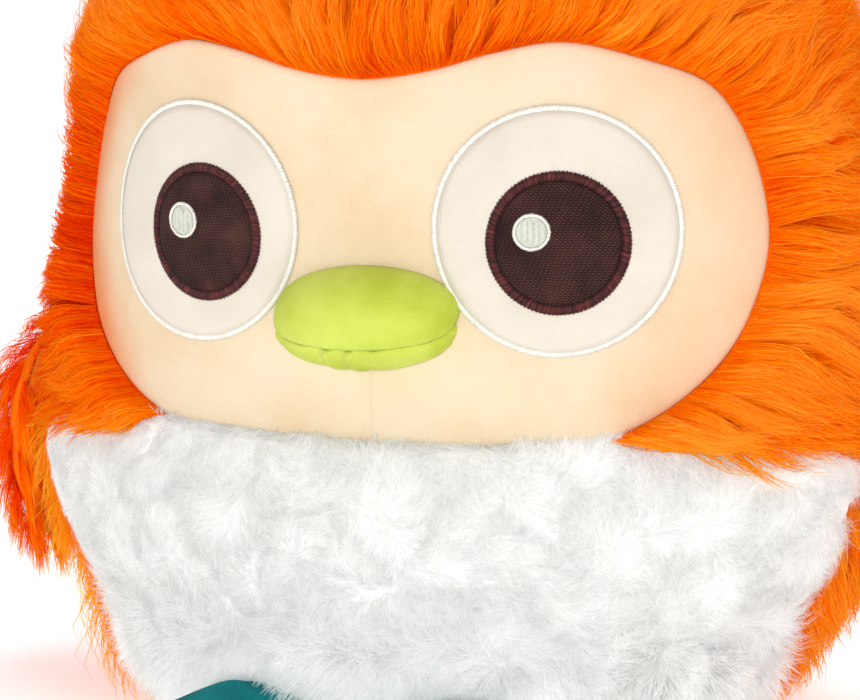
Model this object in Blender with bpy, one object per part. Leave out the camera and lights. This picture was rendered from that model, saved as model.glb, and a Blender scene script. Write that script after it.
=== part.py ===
"""A sitting plush owl, 30 cm tall, modelled the way it is sewn and stuffed.

Body and head are one stuffed form. Its cover is cut from a face panel, a belly panel, two hood
panels, two back panels and a base. Eyes, beak, ear tufts, wings and feet are sewn on. The owl looks
along -Y, its left side is at +X, and it sits on z = 0.
"""
import math

import bmesh
import bpy
import numpy as np
from mathutils import Matrix, Vector

for old in list(bpy.data.objects):
    bpy.data.objects.remove(old)

# The stuffed form without its pile: the height of the crown, and the largest width and depths.
CROWN_HEIGHT = 0.263
HALF_WIDTH = 0.128
FRONT_DEPTH = 0.086
BACK_DEPTH = 0.088
SECTION_POWER = 2.3
# Height, half width, front and back depth, each as a share of the four sizes above.
FORM_SHARES = (
    (0.0, 0.547, 0.581, 0.659),
    (0.019, 0.594, 0.651, 0.727),
    (0.046, 0.648, 0.721, 0.784),
    (0.084, 0.719, 0.826, 0.852),
    (0.129, 0.789, 0.919, 0.909),
    (0.179, 0.859, 0.977, 0.955),
    (0.228, 0.93, 1.0, 0.989),
    (0.285, 0.98, 0.977, 1.0),
    (0.342, 1.0, 0.901, 0.989),
    (0.399, 0.988, 0.891, 0.977),
    (0.494, 0.955, 0.902, 0.955),
    (0.589, 0.922, 0.919, 0.932),
    (0.684, 0.888, 0.937, 0.909),
    (0.787, 0.844, 0.953, 0.875),
    (0.859, 0.773, 0.907, 0.818),
    (0.916, 0.656, 0.802, 0.716),
    (0.958, 0.492, 0.616, 0.557),
    (0.989, 0.258, 0.337, 0.307),
    (1.0, 0.0, 0.0, 0.0),
)
HEART_HEIGHT_SHARE = 0.45

# Cloth and clearances.
CLEARANCE = 0.0003
SEAM_GAP = 0.0005
BACKING = 0.0012
CLOTH = 0.001
FACE_PILE = 0.0015
BELLY_PILE = 0.008
FUR_PILE = 0.010
PILE_ROUND = 0.012
FILL_EASE = 0.0018
FLOOR_GAP = 0.0005
HEM_HEIGHT = 0.0018
BASE_CLOTH = 0.0012

# The face panel: tape distances round the form, and heights.
CHIN_HEIGHT = 0.0926
FACE_HEIGHT = 0.1144
FACE_HALF_GIRTH = 0.117
# Half of its outline as shares of those sizes: along the belly's edge, then round to the dip
# between the brows.
CHIN_OUTLINE_SHARES = (
    (0.0, 0.0),
    (0.386, 0.015),
    (0.589, 0.038),
)
CHEEK_OUTLINE_SHARES = (
    (0.755, 0.126),
    (0.89, 0.257),
    (0.972, 0.414),
    (1.0, 0.545),
    (0.976, 0.694),
    (0.921, 0.816),
    (0.84, 0.904),
    (0.698, 0.956),
    (0.506, 1.0),
    (0.344, 0.978),
    (0.171, 0.93),
    (0.0, 0.909),
)
BELLY_EDGE_SHARE = 0.412

# Eyes: sewn discs, satin stitches and a stitched highlight on the same side of both pupils.
# The pupils look a little to the owl's left and a little inward.
# They sit at the height where the face is widest.
EYE_RISE_SHARE = 0.545
EYE_SPACING_SHARE = 0.347
EYE_RADIUS = 0.035
EYE_STITCH = 0.002
PUPIL_RADIUS = 0.020
PUPIL_STITCH = 0.0029
PUPIL_DROP = 0.0030
PUPIL_ACROSS = 0.0021
PUPIL_INWARD = 0.0015
HIGHLIGHT_RADIUS = 0.0052
HIGHLIGHT_STITCH = 0.0009
HIGHLIGHT_ACROSS = -0.0071
HIGHLIGHT_RISE = 0.0031
DISC_CLOTH = 0.0008
PUPIL_CLOTH = 0.0006
STITCH_RISE = 0.0014

# Beak: a small cushion whose seam runs low across its front.
BEAK_DROP = 0.0255
BEAK_HALF_WIDTH = 0.0277
BEAK_HALF_HEIGHT = 0.015
BEAK_DEPTH = 0.017
BEAK_CLOTH = 0.0012
BEAK_SQUARENESS = 0.8
BEAK_SEAM_ANGLE = math.radians(-38)
BEAK_CORNER_ANGLE = math.radians(84)
BEAK_RIM_ANGLE = math.radians(84)

# Wings: flat stuffed leaves hung from the flanks.
WING_ROOT_HEIGHT = 0.112
WING_LENGTH = 0.074
WING_WIDTH = 0.060
WING_OUTER_SWELL = 0.0085
WING_INNER_SWELL = 0.0035
WING_BROAD_SHARE = 0.30
WING_KNUCKLE = 0.004
WING_BACKWARD = 0.006
WING_CLOTH = 0.0025

# Ear tufts: small stuffed points on the corners of the crown.
EAR_SPREAD_SHARE = 0.516
EAR_BACKWARD = 0.004
EAR_ROOT_DROP = 0.027
EAR_LENGTH = 0.062
EAR_WIDTH = 0.050
EAR_SWELL = 0.012
EAR_BROAD_SHARE = 0.42
EAR_LEAN = math.radians(24)
EAR_CLOTH = 0.0025

# Feet: three toes each, turned out a little, hinged where their tops meet the belly.
FOOT_SPREAD = 0.033
FOOT_LEAD = 0.0112
FOOT_SPLAY = math.radians(12)
FOOT_HEIGHT = 0.0245
FOOT_HALF_WIDTH = 0.025
FOOT_HALF_LENGTH = 0.030
TOE_RADIUS = 0.0108
TOE_PITCH = 0.0165
TOE_REACH = 0.0215
MIDDLE_TOE_LEAD = 0.006
TOE_VALLEY_SHARE = 0.14
TOE_CROWDING_SHARE = 0.45
FOOT_CLOTH = 0.0012
SOLE_CLOTH = 0.0012

# How finely the round shapes are cut, in counts.
CHIN_STEP_COUNT = 5
CHEEK_STEP_COUNT = 14
NECK_FRONT_STEP_COUNT = 4
NECK_BACK_STEP_COUNT = 11
BODY_ROW_COUNT = 8
FACE_RING_COUNT = 5
FILL_SEGMENT_COUNT = 22
FILL_RING_COUNT = 18
DISC_STEP_COUNTS = (24, 3)
PUPIL_STEP_COUNTS = (20, 2)
HIGHLIGHT_STEP_COUNTS = (12, 1)
STITCH_SIDE_COUNT = 6
BEAK_COLUMN_COUNT = 10
BEAK_ROW_COUNTS = (6, 4, 8)
WING_STEP_COUNTS = (16, 3)
EAR_STEP_COUNTS = (14, 2)
FOOT_SEGMENT_COUNT = 30
FOOT_RING_COUNT = 3
CUTTER_SEGMENT_COUNT = 48
CUTTER_RING_COUNT = 32
WALK_STEP_COUNT = 6
BISECTION_COUNT = 40
CURVE_STEP_COUNT = 24
SECTION_STEP_COUNT = 181

# Small lengths for finding the form's surface and for closing blanks.
PROBE = 0.0004
NEAR_ZERO = 1e-9
WELD_SHARE = 1e-5
CHORD_ALLOWANCE = 0.0003
STEEP_SHARE = 0.9
SHARP_ANGLE = math.radians(50)

# Cloths: colour and roughness.
ORANGE_FUR = ((0.90, 0.20, 0.01), 0.9)
ORANGE_LINING = ((0.95, 0.34, 0.04), 0.9)
PEACH_PLUSH = ((0.95, 0.78, 0.57), 0.8)
WHITE_CURLS = ((0.90, 0.90, 0.88), 0.9)
CREAM_PLUSH = ((0.90, 0.86, 0.78), 0.8)
WHITE_SATIN = ((0.93, 0.92, 0.88), 0.45)
BROWN_TWILL = ((0.07, 0.02, 0.022), 0.7)
BROWN_SATIN = ((0.15, 0.025, 0.025), 0.45)
LIME_PLUSH = ((0.62, 0.79, 0.10), 0.8)
TEAL_PLUSH = ((0.0, 0.20, 0.21), 0.8)
FIBREFILL = ((0.92, 0.92, 0.92), 1.0)

EYE_GIRTH = EYE_RADIUS + EYE_SPACING_SHARE * FACE_HALF_GIRTH / 2
EYE_HEIGHT = CHIN_HEIGHT + EYE_RISE_SHARE * FACE_HEIGHT
BEAK_HEIGHT = EYE_HEIGHT - BEAK_DROP

UP = np.array([0.0, 0.0, 1.0])
ASIDE = np.array([1.0, 0.0, 0.0])


def unit(vectors):
    return vectors / np.maximum(np.linalg.norm(vectors, axis=-1, keepdims=True), NEAR_ZERO)


def smooth_line(rows, before, after):
    """A Catmull-Rom curve through rows. The points before and after steer its two ends."""
    points = np.vstack([before, rows, after])
    line = []
    for p0, p1, p2, p3 in zip(points, points[1:], points[2:], points[3:]):
        for t in np.linspace(0, 1, CURVE_STEP_COUNT, endpoint=False):
            bend = 2 * p0 - 5 * p1 + 4 * p2 - p3
            twist = 3 * p1 - p0 - 3 * p2 + p3
            line.append((2 * p1 + (p2 - p0) * t + bend * t**2 + twist * t**3) / 2)
    line.append(rows[-1])
    return np.array(line)


def form_profile():
    rows = np.array(FORM_SHARES) * [CROWN_HEIGHT, HALF_WIDTH, FRONT_DEPTH, BACK_DEPTH]
    past_crown = rows[-2] * [1, -1, -1, -1]
    return smooth_line(rows, 2 * rows[0] - rows[1], past_crown)


PROFILE = form_profile()
HEART = np.array([0.0, 0.0, HEART_HEIGHT_SHARE * CROWN_HEIGHT])


def section(heights):
    """Half width, front depth and back depth of the form at these heights."""
    return [np.interp(heights, PROFILE[:, 0], PROFILE[:, k]) for k in (1, 2, 3)]


def fullness(points):
    """Below 1 inside the form, 1 on its surface, more outside."""
    x, y, z = points.T
    width, front, back = (np.maximum(size, NEAR_ZERO) for size in section(z))
    depth = np.where(y < 0, front, back)
    power = SECTION_POWER
    inside = ((np.abs(x) / width) ** power + (np.abs(y) / depth) ** power) ** (1 / power)
    past_end = np.maximum(-z, z - CROWN_HEIGHT)
    return np.where(past_end > 0, 1 + past_end / CROWN_HEIGHT, inside)


def onto_form(points):
    """Moves points along the ray from the heart until they lie on the form."""
    ways = unit(points - HEART)
    near = np.zeros(len(points))
    far = np.full(len(points), 2 * CROWN_HEIGHT)
    for _ in range(BISECTION_COUNT):
        middle = (near + far) / 2
        within = fullness(HEART + ways * middle[:, None]) < 1
        near = np.where(within, middle, near)
        far = np.where(within, far, middle)
    return HEART + ways * near[:, None]


def outward(points):
    """The form's normals at points on it."""
    ways = unit(points - HEART)
    helper = np.where(np.abs(ways[:, 2:]) < STEEP_SHARE, UP, ASIDE)
    first = unit(np.cross(ways, helper))
    second = np.cross(ways, first)
    slopes = [
        onto_form(points + PROBE * side) - onto_form(points - PROBE * side)
        for side in (first, second)
    ]
    normals = unit(np.cross(*slopes))
    facing = np.sign((normals * ways).sum(1))
    return normals * facing[:, None]


def lifted(points, rise):
    return points + outward(points) * np.reshape(rise, (-1, 1))


def half_section(height):
    """Points from the front middle to the back middle at one height, and their tape distances."""
    width, front, back = section(height)
    turn = np.linspace(0, math.pi, SECTION_STEP_COUNT)
    share = 2 / SECTION_POWER
    x = width * np.abs(np.sin(turn)) ** share
    depth = np.where(turn < math.pi / 2, -front, back)
    y = depth * np.abs(np.cos(turn)) ** share
    tape = np.concatenate([[0], np.cumsum(np.hypot(np.diff(x), np.diff(y)))])
    return x, y, tape


def around(girth, height):
    """The point of the form at a tape distance from the front middle, positive towards +X."""
    x, y, tape = half_section(height)
    reach = min(abs(girth), tape[-1])
    side = 1 if girth >= 0 else -1
    return np.array([side * np.interp(reach, tape, x), np.interp(reach, tape, y), height])


def around_share(share, height):
    """The same point by its share of the way to the back middle."""
    return around(share * half_section(height)[2][-1], height)


def even_steps(line, count):
    """The same line in equal steps."""
    steps = np.linalg.norm(np.diff(line, axis=0), axis=1)
    along = np.concatenate([[0], np.cumsum(steps)])
    stops = np.linspace(0, along[-1], count + 1)
    return np.column_stack([np.interp(stops, along, column) for column in line.T])


def eased(count):
    """Shares from 0 to 1 that crowd together at both ends."""
    return (1 - np.cos(np.linspace(0, math.pi, count + 1))) / 2


# Seams, on the owl's left half. Each is a line of points that both panels beside it share.
outline_shares = np.array(CHIN_OUTLINE_SHARES + CHEEK_OUTLINE_SHARES)
outline = outline_shares * [FACE_HALF_GIRTH, FACE_HEIGHT] + [0, CHIN_HEIGHT]
outline_line = smooth_line(outline, outline[1] * [-1, 1], outline[-2] * [-1, 1])
corner_at = (len(CHIN_OUTLINE_SHARES) - 1) * CURVE_STEP_COUNT
chin_flat = even_steps(outline_line[: corner_at + 1], CHIN_STEP_COUNT)
cheek_flat = even_steps(outline_line[corner_at:], CHEEK_STEP_COUNT)
corner_flat = outline_line[corner_at]

chin_seam = np.array([around(*place) for place in chin_flat])
cheek_seam = np.array([around(*place) for place in cheek_flat])


def neck_seam():
    """From the corner of the face to the nape, dropping to the chin's height on the way."""
    start = corner_flat[0] / half_section(corner_flat[1])[2][-1]
    front = start + (BELLY_EDGE_SHARE - start) * eased(NECK_FRONT_STEP_COUNT)
    even = np.linspace(0, 1, NECK_BACK_STEP_COUNT + 1)
    stops = (even + eased(NECK_BACK_STEP_COUNT)) / 2
    back = BELLY_EDGE_SHARE + (1 - BELLY_EDGE_SHARE) * stops
    shares = np.concatenate([front, back[1:]])
    drop = np.minimum((shares - start) / (BELLY_EDGE_SHARE - start), 1)
    heights = corner_flat[1] + (CHIN_HEIGHT - corner_flat[1]) * drop
    return shares, heights, np.array([around_share(*place) for place in zip(shares, heights)])


neck_shares, neck_heights, neck_points = neck_seam()


def body_grid(shares, heights):
    """Skin points from the hem up to a top seam, given by its shares and heights."""
    return np.array(
        [
            [
                around_share(share, HEM_HEIGHT + (height - HEM_HEIGHT) * rise)
                for share, height in zip(shares, heights)
            ]
            for rise in eased(BODY_ROW_COUNT)
        ]
    )


def hood_grid():
    """Skin points between the cheek, the neck, the seam over the crown and the seam down the back."""
    nape = neck_points[-1]
    crown = np.array([0.0, 0.0, CROWN_HEIGHT])
    to_crown = middle_line(cheek_seam[-1], crown, len(neck_points) - 1)
    up_back = middle_line(nape, crown, CHEEK_STEP_COUNT)
    v = np.linspace(0, 1, CHEEK_STEP_COUNT + 1)[:, None, None]
    w = np.linspace(0, 1, len(neck_points))[None, :, None]
    across = (1 - w) * cheek_seam[:, None] + w * up_back[:, None]
    along = (1 - v) * neck_points[None] + v * to_crown[None]
    lower = (1 - w) * cheek_seam[0] + w * nape
    upper = (1 - w) * cheek_seam[-1] + w * crown
    guess = across + along - (1 - v) * lower - v * upper
    points = onto_form(guess.reshape(-1, 3)).reshape(guess.shape)
    points[0], points[-1] = neck_points, to_crown
    points[:, 0], points[:, -1] = cheek_seam, up_back
    return points


def middle_line(start, end, count):
    """Equal steps over the form in the middle plane, from start to end."""
    turn = np.linspace(0, 1, CURVE_STEP_COUNT * count + 1)[:, None]
    ways = unit((1 - turn) * unit(start - HEART) + turn * unit(end - HEART))
    line = onto_form(HEART + ways)
    line[0], line[-1] = start, end
    return even_steps(line, count)


def seam_gap(points):
    """Draws the edges of a grid in by half a clearance, square to each edge."""
    shifts = np.zeros_like(points)
    views = ((points, shifts), (points.swapaxes(0, 1), shifts.swapaxes(0, 1)))
    for grid, shift in views:
        for edge, inner in ((0, 1), (-1, -2)):
            run = unit(np.gradient(grid[edge], axis=0))
            inward = grid[inner] - grid[edge]
            inward = inward - (inward * run).sum(1, keepdims=True) * run
            shift[edge] += unit(inward) * SEAM_GAP / 2
    return points + shifts


def nearest(points, line):
    """Distance from each point to the closest point of a line."""
    fine = even_steps(line, CURVE_STEP_COUNT * len(line))
    return np.linalg.norm(points[:, None] - fine[None], axis=2).min(1)


def pile_over(points, pile, seams):
    """The pile's height over skin points: it rounds down to bare cloth at the named seams."""
    away = np.full(len(points), PILE_ROUND)
    for line in seams:
        away = np.minimum(away, nearest(points, line))
    return CLOTH + (pile - CLOTH) * np.sqrt(1 - (1 - away / PILE_ROUND) ** 2)


def blank_grid(columns, rows):
    """Two square layers of cloth, 1 by 1, joined all round, at z = 0 and z = 1."""
    bm = bmesh.new()
    bmesh.ops.create_grid(bm, x_segments=columns, y_segments=rows, size=1 / 2)
    bmesh.ops.translate(bm, verts=bm.verts[:], vec=(1 / 2, 1 / 2, 0))
    return two_layers(bm)


def blank_disc(segments, rings):
    """Two round layers of cloth of radius 1, joined all round, at z = 0 and z = 1."""
    bm = bmesh.new()
    spoke = [bm.verts.new((i / rings, 0, 0)) for i in range(rings + 1)]
    for inner, outer in zip(spoke, spoke[1:]):
        bm.edges.new((inner, outer))
    spin_closed(bm, segments)
    bmesh.ops.remove_doubles(bm, verts=bm.verts[:], dist=WELD_SHARE)
    return two_layers(bm)


def blank_ring(segments, radius, width, rise):
    """A bead of stitches round the origin: an oval section turned once round."""
    bm = bmesh.new()
    oval = bmesh.ops.create_circle(bm, segments=STITCH_SIDE_COUNT, radius=1)["verts"]
    for vert in oval:
        across, up = vert.co.x, vert.co.y
        vert.co = (radius + across * width / 2, 0, up * rise / 2)
    spin_closed(bm, segments)
    return bm


def spin_closed(bm, segments):
    bmesh.ops.spin(
        bm,
        geom=bm.verts[:] + bm.edges[:],
        axis=(0, 0, 1),
        cent=(0, 0, 0),
        steps=segments,
        angle=2 * math.pi,
        use_merge=True,
    )


def two_layers(bm):
    """Extrudes a flat blank of unit size once, from z = 0 to z = 1."""
    lower = bm.faces[:]
    added = bmesh.ops.extrude_face_region(bm, geom=lower, use_keep_orig=True)
    upper = [item for item in added["geom"] if isinstance(item, bmesh.types.BMVert)]
    bmesh.ops.translate(bm, verts=upper, vec=(0, 0, 1))
    return bm


def places(bm):
    return np.array([vert.co for vert in bm.verts])


def set_places(bm, points):
    for vert, point in zip(bm.verts, points):
        vert.co = point


def add_object(name, bm, cloth, pivot=None, cutter=None):
    """Makes one sewn piece an object with its own material."""
    colour, roughness = cloth
    bmesh.ops.recalc_face_normals(bm, faces=bm.faces[:])
    if bm.calc_volume(signed=True) < 0:
        bmesh.ops.reverse_faces(bm, faces=bm.faces[:])
    mesh = bpy.data.meshes.new(name)
    bm.to_mesh(mesh)
    bm.free()
    mesh.shade_smooth()
    mesh.set_sharp_from_angle(angle=SHARP_ANGLE)
    material = bpy.data.materials.new(name)
    material.use_nodes = True
    shader = material.node_tree.nodes["Principled BSDF"]
    shader.inputs["Base Color"].default_value = (*colour, 1)
    shader.inputs["Roughness"].default_value = roughness
    mesh.materials.append(material)
    piece = bpy.data.objects.new(name, mesh)
    bpy.context.collection.objects.link(piece)
    piece.parent = pivot
    if cutter:
        cut = piece.modifiers.new("fit against the body", "BOOLEAN")
        cut.operation = "DIFFERENCE"
        cut.object = cutter
    return piece


def add_pivot(name, place, turn=0.0):
    pivot = bpy.data.objects.new(name, None)
    pivot.location = place
    pivot.rotation_euler = (0, 0, turn)
    bpy.context.collection.objects.link(pivot)
    return pivot


def sew_panel(name, grid, pile, thin_seams, cloth):
    """A panel of pile cloth on the form. Its outside is the pile, its inside the backing."""
    grid = seam_gap(grid)
    rows, columns = grid.shape[0] - 1, grid.shape[1] - 1
    bm = blank_grid(columns, rows)
    blank = places(bm)
    column = np.rint(blank[:, 0] * columns).astype(int)
    row = np.rint(blank[:, 1] * rows).astype(int)
    skin = grid[row, column]
    outer = pile_over(skin, pile, thin_seams)
    points = lifted(skin, np.where(blank[:, 2] > 0, outer, -BACKING))
    points[:, 2] = np.maximum(points[:, 2], FLOOR_GAP)
    set_places(bm, points)
    add_object(name, bm, cloth)


def mirrored(grid):
    return (grid * [-1, 1, 1])[:, ::-1]


def sew_body():
    """Belly, back and base panels, and the stuffing inside."""
    front = len(neck_shares[: NECK_FRONT_STEP_COUNT + 1])
    chin_shares = chin_flat[:, 0] / [half_section(height)[2][-1] for height in chin_flat[:, 1]]
    half_shares = np.concatenate([chin_shares, neck_shares[1:front]])
    half_heights = np.concatenate([chin_flat[:, 1], neck_heights[1:front]])
    half = body_grid(half_shares, half_heights)
    belly = np.concatenate([mirrored(half)[:, :-1], half], axis=1)
    chin_line = np.vstack([chin_seam[::-1] * [-1, 1, 1], chin_seam])
    sew_panel("belly_panel", belly, BELLY_PILE, (chin_line, belly[0]), WHITE_CURLS)

    back = body_grid(neck_shares[front - 1 :], neck_heights[front - 1 :])
    sew_panel("back_panel_left", back, FUR_PILE, (back[0],), ORANGE_FUR)
    right = mirrored(back)
    sew_panel("back_panel_right", right, FUR_PILE, (right[0],), ORANGE_FUR)

    hem = np.vstack([half[0], back[0][1:]])
    hem = np.vstack([hem, (hem[1:-1] * [-1, 1, 1])[::-1]])
    bm = blank_disc(len(hem), 1)
    blank = places(bm)
    turn = np.arctan2(blank[:, 1], blank[:, 0])
    spoke = np.rint(turn / (2 * math.pi) * len(hem)).astype(int) % len(hem)
    reach = np.hypot(blank[:, 0], blank[:, 1])[:, None]
    inset = hem[:, :2] - unit(hem[:, :2]) * CLEARANCE
    flat = inset[spoke] * reach
    set_places(bm, np.column_stack([flat, blank[:, 2] * BASE_CLOTH]))
    add_object("base_panel", bm, ORANGE_LINING)

    bm = bmesh.new()
    bmesh.ops.create_uvsphere(bm, u_segments=FILL_SEGMENT_COUNT, v_segments=FILL_RING_COUNT, radius=1)
    sink = BACKING + CLEARANCE + FILL_EASE
    points = lifted(onto_form(HEART + places(bm)), -sink)
    points[:, 2] = np.maximum(points[:, 2], BASE_CLOTH + CLEARANCE)
    set_places(bm, points)
    add_object("body_stuffing", bm, FIBREFILL)


def sew_head():
    """The face panel and the two hood panels that meet over the crown and down the back."""
    hood = hood_grid()
    sew_panel("hood_panel_left", hood, FUR_PILE, (cheek_seam,), ORANGE_FUR)
    right_cheek = cheek_seam * [-1, 1, 1]
    sew_panel("hood_panel_right", mirrored(hood), FUR_PILE, (right_cheek,), ORANGE_FUR)

    half = np.vstack([chin_flat, cheek_flat[1:]])
    ring = np.vstack([half, (half[1:-1] * [-1, 1])[::-1]])
    centre = np.array([0.0, CHIN_HEIGHT + FACE_HEIGHT / 2])
    run = unit(np.roll(ring, -1, axis=0) - np.roll(ring, 1, axis=0))
    ring = ring + np.column_stack([-run[:, 1], run[:, 0]]) * SEAM_GAP / 2
    bm = blank_disc(len(ring), FACE_RING_COUNT)
    blank = places(bm)
    turn = np.arctan2(blank[:, 1], blank[:, 0])
    spoke = np.rint(turn / (2 * math.pi) * len(ring)).astype(int) % len(ring)
    reach = np.hypot(blank[:, 0], blank[:, 1])[:, None]
    flat = centre + (ring[spoke] - centre) * reach
    skin = np.array([around(*place) for place in flat])
    set_places(bm, lifted(skin, np.where(blank[:, 2] > 0, FACE_PILE, -BACKING)))
    add_object("face_panel", bm, PEACH_PLUSH)


def lay_on_face(bm, girth, height):
    """Lays a flat piece on the form. Its x runs across, its y up and its z outwards."""
    flat = places(bm)
    start = around(girth, height)[None]
    normal = outward(start)[0]
    across = unit(np.cross(UP, normal))
    rise = np.cross(normal, across)
    reach = np.hypot(flat[:, 0], flat[:, 1])
    ways = unit(flat[:, :1] * across + flat[:, 1:2] * rise)
    step = (reach / WALK_STEP_COUNT)[:, None]
    at = np.repeat(start, len(flat), axis=0)
    for _ in range(WALK_STEP_COUNT):
        ahead = onto_form(at + ways * step) - at
        at = onto_form(at + unit(ahead) * step)
    set_places(bm, lifted(at, flat[:, 2]))


def applique(name, steps, radius, low, thickness, spot, cloth):
    """A disc of cloth on the face. Its spot is x and y beside a tape distance at eye height."""
    x, y, girth = spot
    bm = blank_disc(*steps)
    set_places(bm, places(bm) * [radius, radius, thickness] + [x, y, low])
    lay_on_face(bm, girth, EYE_HEIGHT)
    add_object(name, bm, cloth)


def stitches(name, segments, radius, width, low, spot, cloth):
    """A raised ring of satin stitches with this outer radius."""
    x, y, girth = spot
    bm = blank_ring(segments, radius - width / 2, width, STITCH_RISE)
    set_places(bm, places(bm) + [x, y, low + STITCH_RISE / 2])
    lay_on_face(bm, girth, EYE_HEIGHT)
    add_object(name, bm, cloth)


def sew_eye(side, name):
    """One eye, built up from the face: cream disc, brown pupil, highlight, each with its stitches."""
    girth = side * EYE_GIRTH
    across = PUPIL_ACROSS - side * PUPIL_INWARD
    on_face = FACE_PILE + CLEARANCE
    on_disc = on_face + DISC_CLOTH + CLEARANCE
    on_pupil = on_disc + PUPIL_CLOTH + CLEARANCE
    rounds = (
        ("eye_disc", "eye_stitching", DISC_STEP_COUNTS, EYE_RADIUS, EYE_STITCH, on_face, DISC_CLOTH,
         (0, 0, girth), CREAM_PLUSH, WHITE_SATIN),
        ("pupil", "pupil_stitching", PUPIL_STEP_COUNTS, PUPIL_RADIUS, PUPIL_STITCH, on_disc, PUPIL_CLOTH,
         (across, -PUPIL_DROP, girth), BROWN_TWILL, BROWN_SATIN),
        ("highlight", "highlight_edge", HIGHLIGHT_STEP_COUNTS, HIGHLIGHT_RADIUS, HIGHLIGHT_STITCH,
         on_pupil, PUPIL_CLOTH, (across + HIGHLIGHT_ACROSS, HIGHLIGHT_RISE - PUPIL_DROP, girth),
         WHITE_SATIN, WHITE_SATIN),
    )
    for patch, edge, steps, radius, width, low, thickness, spot, cloth, thread in rounds:
        inner = radius - width - CLEARANCE
        applique(f"{patch}_{name}", steps, inner, low, thickness, spot, cloth)
        stitches(f"{edge}_{name}", steps[0], radius, width, low, spot, thread)


def beak_layer(blank, low_angle, high_angle, sink, slide):
    """Flat places of one layer of the beak: x by the first share, the way round by the second."""
    lean = (blank[:, 0] * 2 - 1) * BEAK_CORNER_ANGLE
    way = low_angle + (high_angle - low_angle) * blank[:, 1]
    on_face = FACE_PILE + CLEARANCE
    x = (BEAK_HALF_WIDTH - sink) * np.sin(lean)
    y = (BEAK_HALF_HEIGHT - sink) * np.cos(lean) ** BEAK_SQUARENESS * np.sin(way) + slide
    z = on_face + (BEAK_DEPTH - sink) * np.cos(lean) * np.cos(way)
    return np.column_stack([x, y, z])


def sew_beak():
    """A big upper panel, a small lower panel under the seam, and the stuffing behind both."""
    upper_rows, lower_rows, fill_rows = BEAK_ROW_COUNTS
    panels = (
        ("beak_upper_panel", BEAK_SEAM_ANGLE, BEAK_RIM_ANGLE, SEAM_GAP / 2, upper_rows),
        ("beak_lower_panel", -BEAK_RIM_ANGLE, BEAK_SEAM_ANGLE, -SEAM_GAP / 2, lower_rows),
    )
    for name, low, high, slide, rows in panels:
        bm = blank_grid(BEAK_COLUMN_COUNT, rows)
        blank = places(bm)
        outer = beak_layer(blank, low, high, 0, slide)
        inner = beak_layer(blank, low, high, BEAK_CLOTH, slide)
        set_places(bm, np.where(blank[:, 2:] > 0, outer, inner))
        lay_on_face(bm, 0, BEAK_HEIGHT)
        add_object(name, bm, LIME_PLUSH)
    bm = blank_grid(BEAK_COLUMN_COUNT, fill_rows)
    blank = places(bm)
    sink = BEAK_CLOTH + CLEARANCE
    dome = beak_layer(blank, -BEAK_RIM_ANGLE, BEAK_RIM_ANGLE, sink, 0)
    flat = dome * [1, 1, 0] + [0, 0, FACE_PILE + CLEARANCE]
    set_places(bm, np.where(blank[:, 2:] > 0, dome, flat))
    lay_on_face(bm, 0, BEAK_HEIGHT)
    add_object("beak_stuffing", bm, FIBREFILL)


def body_cutter(name, pile):
    """The form grown by its pile and a clearance, which trims what is sewn against it."""
    bm = bmesh.new()
    bmesh.ops.create_uvsphere(bm, u_segments=CUTTER_SEGMENT_COUNT, v_segments=CUTTER_RING_COUNT, radius=1)
    points = onto_form(HEART + places(bm))
    set_places(bm, lifted(points, pile + CLEARANCE + CHORD_ALLOWANCE))
    cutter = add_object(name, bm, FIBREFILL)
    cutter.hide_render = True
    cutter.display_type = "WIRE"
    return cutter


def leaf_layer(blank, leaf, sink, side):
    """One face of a stuffed leaf. It hangs from y = 0 to y = -length and swells along z."""
    length, width, outer_swell, inner_swell, broad_share = leaf
    swell = outer_swell if side > 0 else inner_swell
    turn = np.arctan2(blank[:, 1], blank[:, 0])
    rim = np.hypot(blank[:, 0], blank[:, 1]) * math.pi / 2
    half_width, half_length = width / 2 - sink, length / 2 - sink
    x = half_width * np.sin(turn) * (1 + broad_share * np.cos(turn)) * np.sin(rim)
    y = half_length * np.cos(turn) * np.sin(rim) - length / 2
    z = side * (swell - sink * swell / (outer_swell + inner_swell)) * np.cos(rim)
    return np.column_stack([x, y, z])


def stuffed_leaf(names, leaf, cloth, cloths, place, pivot, cutter, steps):
    """An outer panel, an inner panel and the stuffing between them, all of one outline."""
    edge = SEAM_GAP / 2
    for name, side, colour in zip(names, (1, -1), cloths):
        bm = blank_disc(*steps)
        blank = places(bm)
        outer = leaf_layer(blank, leaf, 0, side) + [0, 0, side * (edge + cloth / 2)]
        inner = leaf_layer(blank, leaf, cloth, side) + [0, 0, side * edge]
        set_places(bm, np.where(blank[:, 2:] > 0, outer, inner))
        bmesh.ops.transform(bm, matrix=place, verts=bm.verts[:])
        add_object(name, bm, colour, pivot, cutter)
    bm = blank_disc(*steps)
    blank = places(bm)
    sink = cloth + CLEARANCE
    upper, lower = (leaf_layer(blank, leaf, sink, side) for side in (1, -1))
    set_places(bm, np.where(blank[:, 2:] > 0, upper, lower))
    bmesh.ops.transform(bm, matrix=place, verts=bm.verts[:])
    add_object(names[2], bm, FIBREFILL, pivot, cutter)


def flank(height):
    """How far out the pile stands at the middle of the side, with a clearance."""
    return section(height)[0] + FUR_PILE + CLEARANCE + CHORD_ALLOWANCE


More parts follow.
